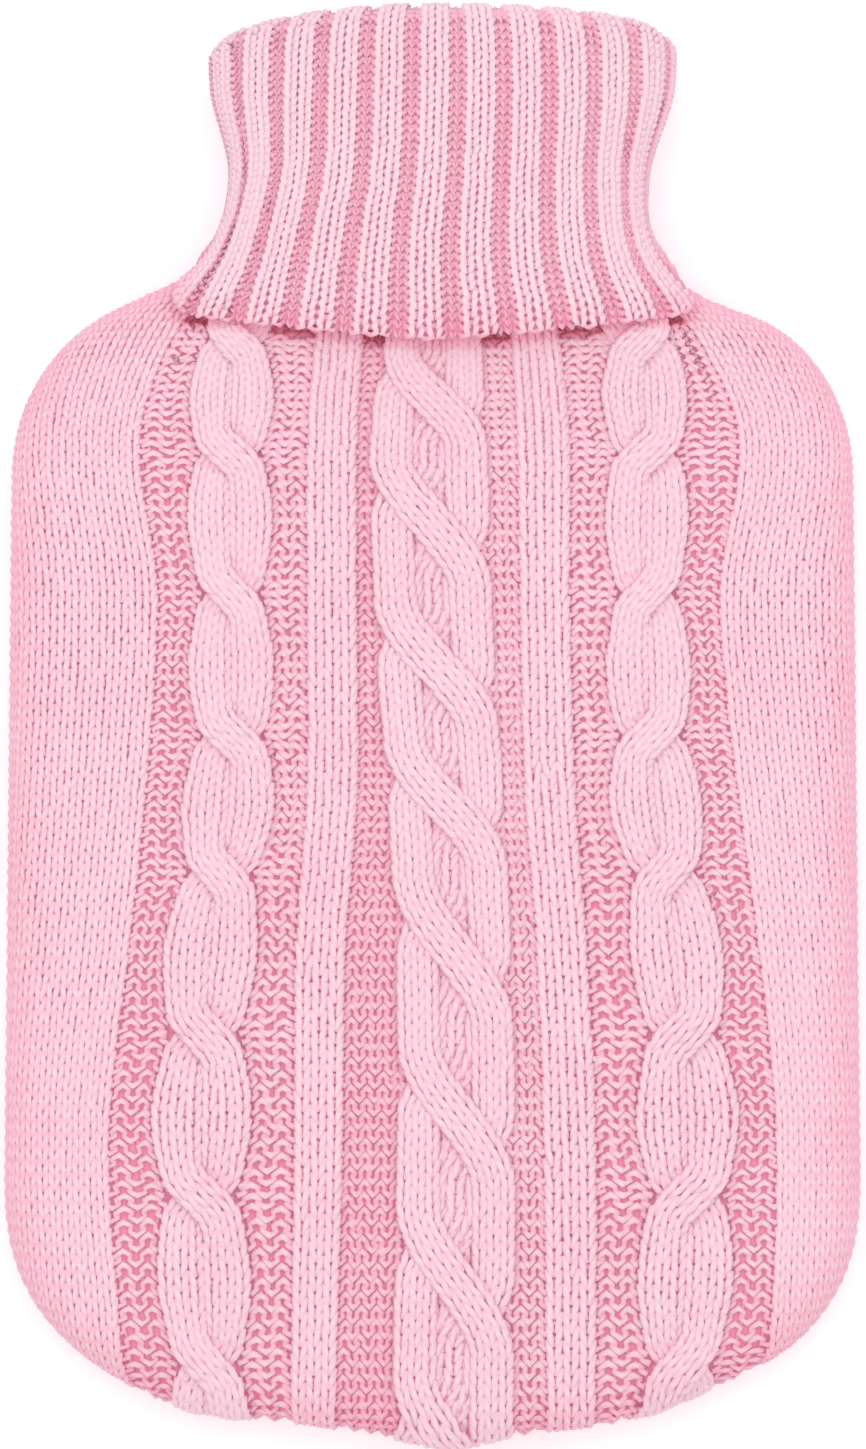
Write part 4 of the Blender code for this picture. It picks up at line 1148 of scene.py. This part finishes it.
class StageSettings(bpy.types.PropertyGroup):
    """The floor, the light and the camera."""

    floor: colour_setting("Floor", "Colour of the floor", (0.92, 0.92, 0.92))
    floor_glow: share_setting("Floor glow", "How much light comes through the floor from below", 0.2)
    sky: share_setting("Sky light", "Strength of the even light from all round", 0.85)
    lamp: FloatProperty(name="Lamp", description="Power of the large soft lamp", default=7.0, unit="POWER")
    lamp_size: FloatProperty(name="Lamp size", description="Width of the lamp", default=1.3, unit="LENGTH")
    lamp_place: FloatVectorProperty(name="Lamp place", description="Where the lamp hangs, facing the cover",
                                    default=(-0.02, 0.3, 1.25), unit="LENGTH")
    lens: FloatProperty(name="Lens", description="Focal length of the camera in millimetres", default=200.0)
    centre: FloatVectorProperty(name="Centre", description="Point that the camera looks straight down at",
                                default=(0.12 * MM, 0.3 * MM, 20.0 * MM), unit="LENGTH", precision=5)
    view_height: length_setting("View height", "Length that the photograph's long side spans", 351.4)


# ---------------------------------------------------------------- operators


class COVER_OT_side_stitches(bpy.types.Operator):
    """Knits the plain sides of the front, each with its furrow next to the cable"""

    bl_idname = "cover.side_stitches"
    bl_label = "Side stitches"

    def execute(self, context):
        knit = context.scene.cover_knit
        for seed, side in enumerate(("left_side", "right_side")):
            yarn = Yarn(SIDE_GIRTH * knit.radius, knit.flatness, knit.sides)
            knit_strip(yarn, side, knit, SIDE_SEED + seed)
            dress(yarn.build(side + "_stitches"), yarn_finish(side + "_yarn", "Yarn"))
        return {"FINISHED"}


class COVER_OT_rib_stitches(bpy.types.Operator):
    """Knits the two ribs and the furrows beside them"""

    bl_idname = "cover.rib_stitches"
    bl_label = "Rib stitches"

    def execute(self, context):
        knit = context.scene.cover_knit
        yarn = Yarn(knit.radius, knit.flatness, knit.sides)
        for seed, strip in enumerate(("left_rib", "right_rib")):
            knit_strip(yarn, strip, knit, RIB_SEED + seed)
        dress(yarn.build("rib_stitches"), yarn_finish("rib_yarn", "Yarn"))
        return {"FINISHED"}


class COVER_OT_cable_stitches(bpy.types.Operator):
    """Knits the two cables and the braid"""

    bl_idname = "cover.cable_stitches"
    bl_label = "Cable stitches"

    def execute(self, context):
        knit = context.scene.cover_knit
        yarn = Yarn(knit.radius, knit.flatness, knit.sides)
        knit_cable(yarn, knit, "left", LEFT_CABLE_SEED)
        knit_cable(yarn, knit, "right", RIGHT_CABLE_SEED)
        knit_braid(yarn, knit, BRAID_SEED)
        dress(yarn.build("cable_stitches"), yarn_finish("cable_yarn", "Yarn"))
        return {"FINISHED"}


class COVER_OT_back(bpy.types.Operator):
    """Lays the ground of the back panel and presses its plain stitches"""

    bl_idname = "cover.back"
    bl_label = "Back"

    def execute(self, context):
        stitches = stockinette("back_stitches", BACK, context.scene.cover_back)
        dress(stitches, yarn_finish("back_yarn", "Cloth"))
        sheet, size, area = panel_cloth("back_cloth", BACK)
        # The back's ground cloth carries painted shade.
        dress(sheet, cloth_finish("shaded_back_loops"))
        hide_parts("back_panel")
        return {"FINISHED"}


class COVER_OT_front_cloth(bpy.types.Operator):
    """Lays the ground of the front panel under its stitches"""

    bl_idname = "cover.front_cloth"
    bl_label = "Front cloth"

    def execute(self, context):
        sheet, size, area = panel_cloth("front_cloth", FRONT)
        # The front's ground cloth carries painted shade.
        dress(sheet, cloth_finish("shaded_front_loops"))
        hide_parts("front_panel")
        return {"FINISHED"}


class COVER_OT_collar(bpy.types.Operator):
    """Knits the ribs of the collar and folds the ground under them"""

    bl_idname = "cover.collar"
    bl_label = "Collar"

    def execute(self, context):
        knit = context.scene.cover_collar
        knitted = []
        for name, first, last in (("collar_front", 0.0, 0.5), ("collar_back", 0.5, 1.0)):
            yarn = Yarn(knit.radius, knit.flatness, knit.sides)
            knit_collar(yarn, knit, first, last, COLLAR_SEED + len(knitted))
            knitted.append(yarn.build(name + "_stitches"))
            dress(knitted[-1], yarn_finish(name + "_yarn", "Yarn"))
        sheet, size = collar_cloth("collar_cloth", knit)
        # The collar's ground cloth carries painted shade.
        dress(sheet, cloth_finish("shaded_collar_loops"))
        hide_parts("collar")
        return {"FINISHED"}


class COVER_OT_stage(bpy.types.Operator):
    """Sets the floor, the light and the camera"""

    bl_idname = "cover.stage"
    bl_label = "Stage"

    def execute(self, context):
        stage = context.scene.cover_stage
        bpy.ops.object.select_all(action="DESELECT")
        bpy.ops.mesh.primitive_plane_add(size=FLOOR_SIZE, location=(0.0, 0.0, FLOOR_Z))
        floor = context.object
        floor.name = "floor"
        finish = Finish("paper")
        white = tuple(stage.floor)
        dull = tuple(PAPER_DULL * value for value in white[:3]) + (1.0,)
        finish.surface(
            Base_Color=finish.mix(finish.noise(finish.places(), PAPER_SCALE, 3.0), dull, white),
            Roughness=PAPER_ROUGHNESS, Specular_IOR_Level=PAPER_SHINE,
            Emission_Color=white, Emission_Strength=stage.floor_glow,
        )
        floor.data.materials.append(finish.material)

        world = bpy.data.worlds.new("studio")
        world.use_nodes = True
        sky = world.node_tree.nodes["Background"]
        sky.inputs["Color"].default_value = (1.0, 1.0, 1.0, 1.0)
        sky.inputs["Strength"].default_value = stage.sky
        context.scene.world = world

        bpy.ops.object.light_add(type="AREA", location=stage.lamp_place)
        lamp = context.object
        lamp.name = "soft_lamp"
        lamp.data.energy = stage.lamp
        lamp.data.size = stage.lamp_size
        lamp.rotation_euler = (-Vector(lamp.location)).to_track_quat("-Z", "Y").to_euler()

        bpy.ops.object.camera_add()
        camera = context.object
        camera.name = "camera"
        camera.data.lens = stage.lens
        distance = stage.view_height * stage.lens / camera.data.sensor_width
        camera.location = (stage.centre[0], stage.centre[1], stage.centre[2] + distance)
        camera.rotation_euler = (0.0, 0.0, 0.0)
        context.scene.camera = camera
        context.scene.view_settings.view_transform = "Standard"
        return {"FINISHED"}


OPERATORS = (
    COVER_OT_side_stitches, COVER_OT_rib_stitches, COVER_OT_cable_stitches, COVER_OT_back,
    COVER_OT_front_cloth, COVER_OT_collar, COVER_OT_stage,
)
SETTINGS = {
    "cover_knit": KnitSettings, "cover_collar": CollarSettings, "cover_back": BackSettings,
    "cover_colours": ColourSettings, "cover_stage": StageSettings,
}


class COVER_PT_pieces(bpy.types.Panel):
    """Lists the steps that make the pieces of the cover, and their settings"""

    bl_idname = "COVER_PT_pieces"
    bl_label = "Bottle cover"
    bl_space_type = "VIEW_3D"
    bl_region_type = "UI"
    bl_category = "Cover"

    def draw(self, context):
        """Draws the buttons and the settings."""
        for operator in OPERATORS:
            self.layout.operator(operator.bl_idname)
        for name in SETTINGS:
            settings = getattr(context.scene, name)
            box = self.layout.box()
            box.label(text=name.replace("_", " ").capitalize())
            for prop in settings.__annotations__:
                box.prop(settings, prop)


def register():
    """Registers the settings, the operators and the panel."""
    for name, group in SETTINGS.items():
        bpy.utils.register_class(group)
        setattr(bpy.types.Scene, name, PointerProperty(type=group))
    for operator in OPERATORS + (COVER_PT_pieces,):
        bpy.utils.register_class(operator)


def unregister():
    """Takes the panel, the operators and the settings away again."""
    for operator in (COVER_PT_pieces,) + OPERATORS[::-1]:
        bpy.utils.unregister_class(operator)
    for name, group in SETTINGS.items():
        delattr(bpy.types.Scene, name)
        bpy.utils.unregister_class(group)


def main():
    """Makes every piece in order."""
    register()
    bpy.ops.cover.side_stitches()
    bpy.ops.cover.rib_stitches()
    bpy.ops.cover.cable_stitches()
    bpy.ops.cover.back()
    bpy.ops.cover.front_cloth()
    bpy.ops.cover.collar()
    bpy.ops.cover.stage()


if __name__ == "__main__":
    main()
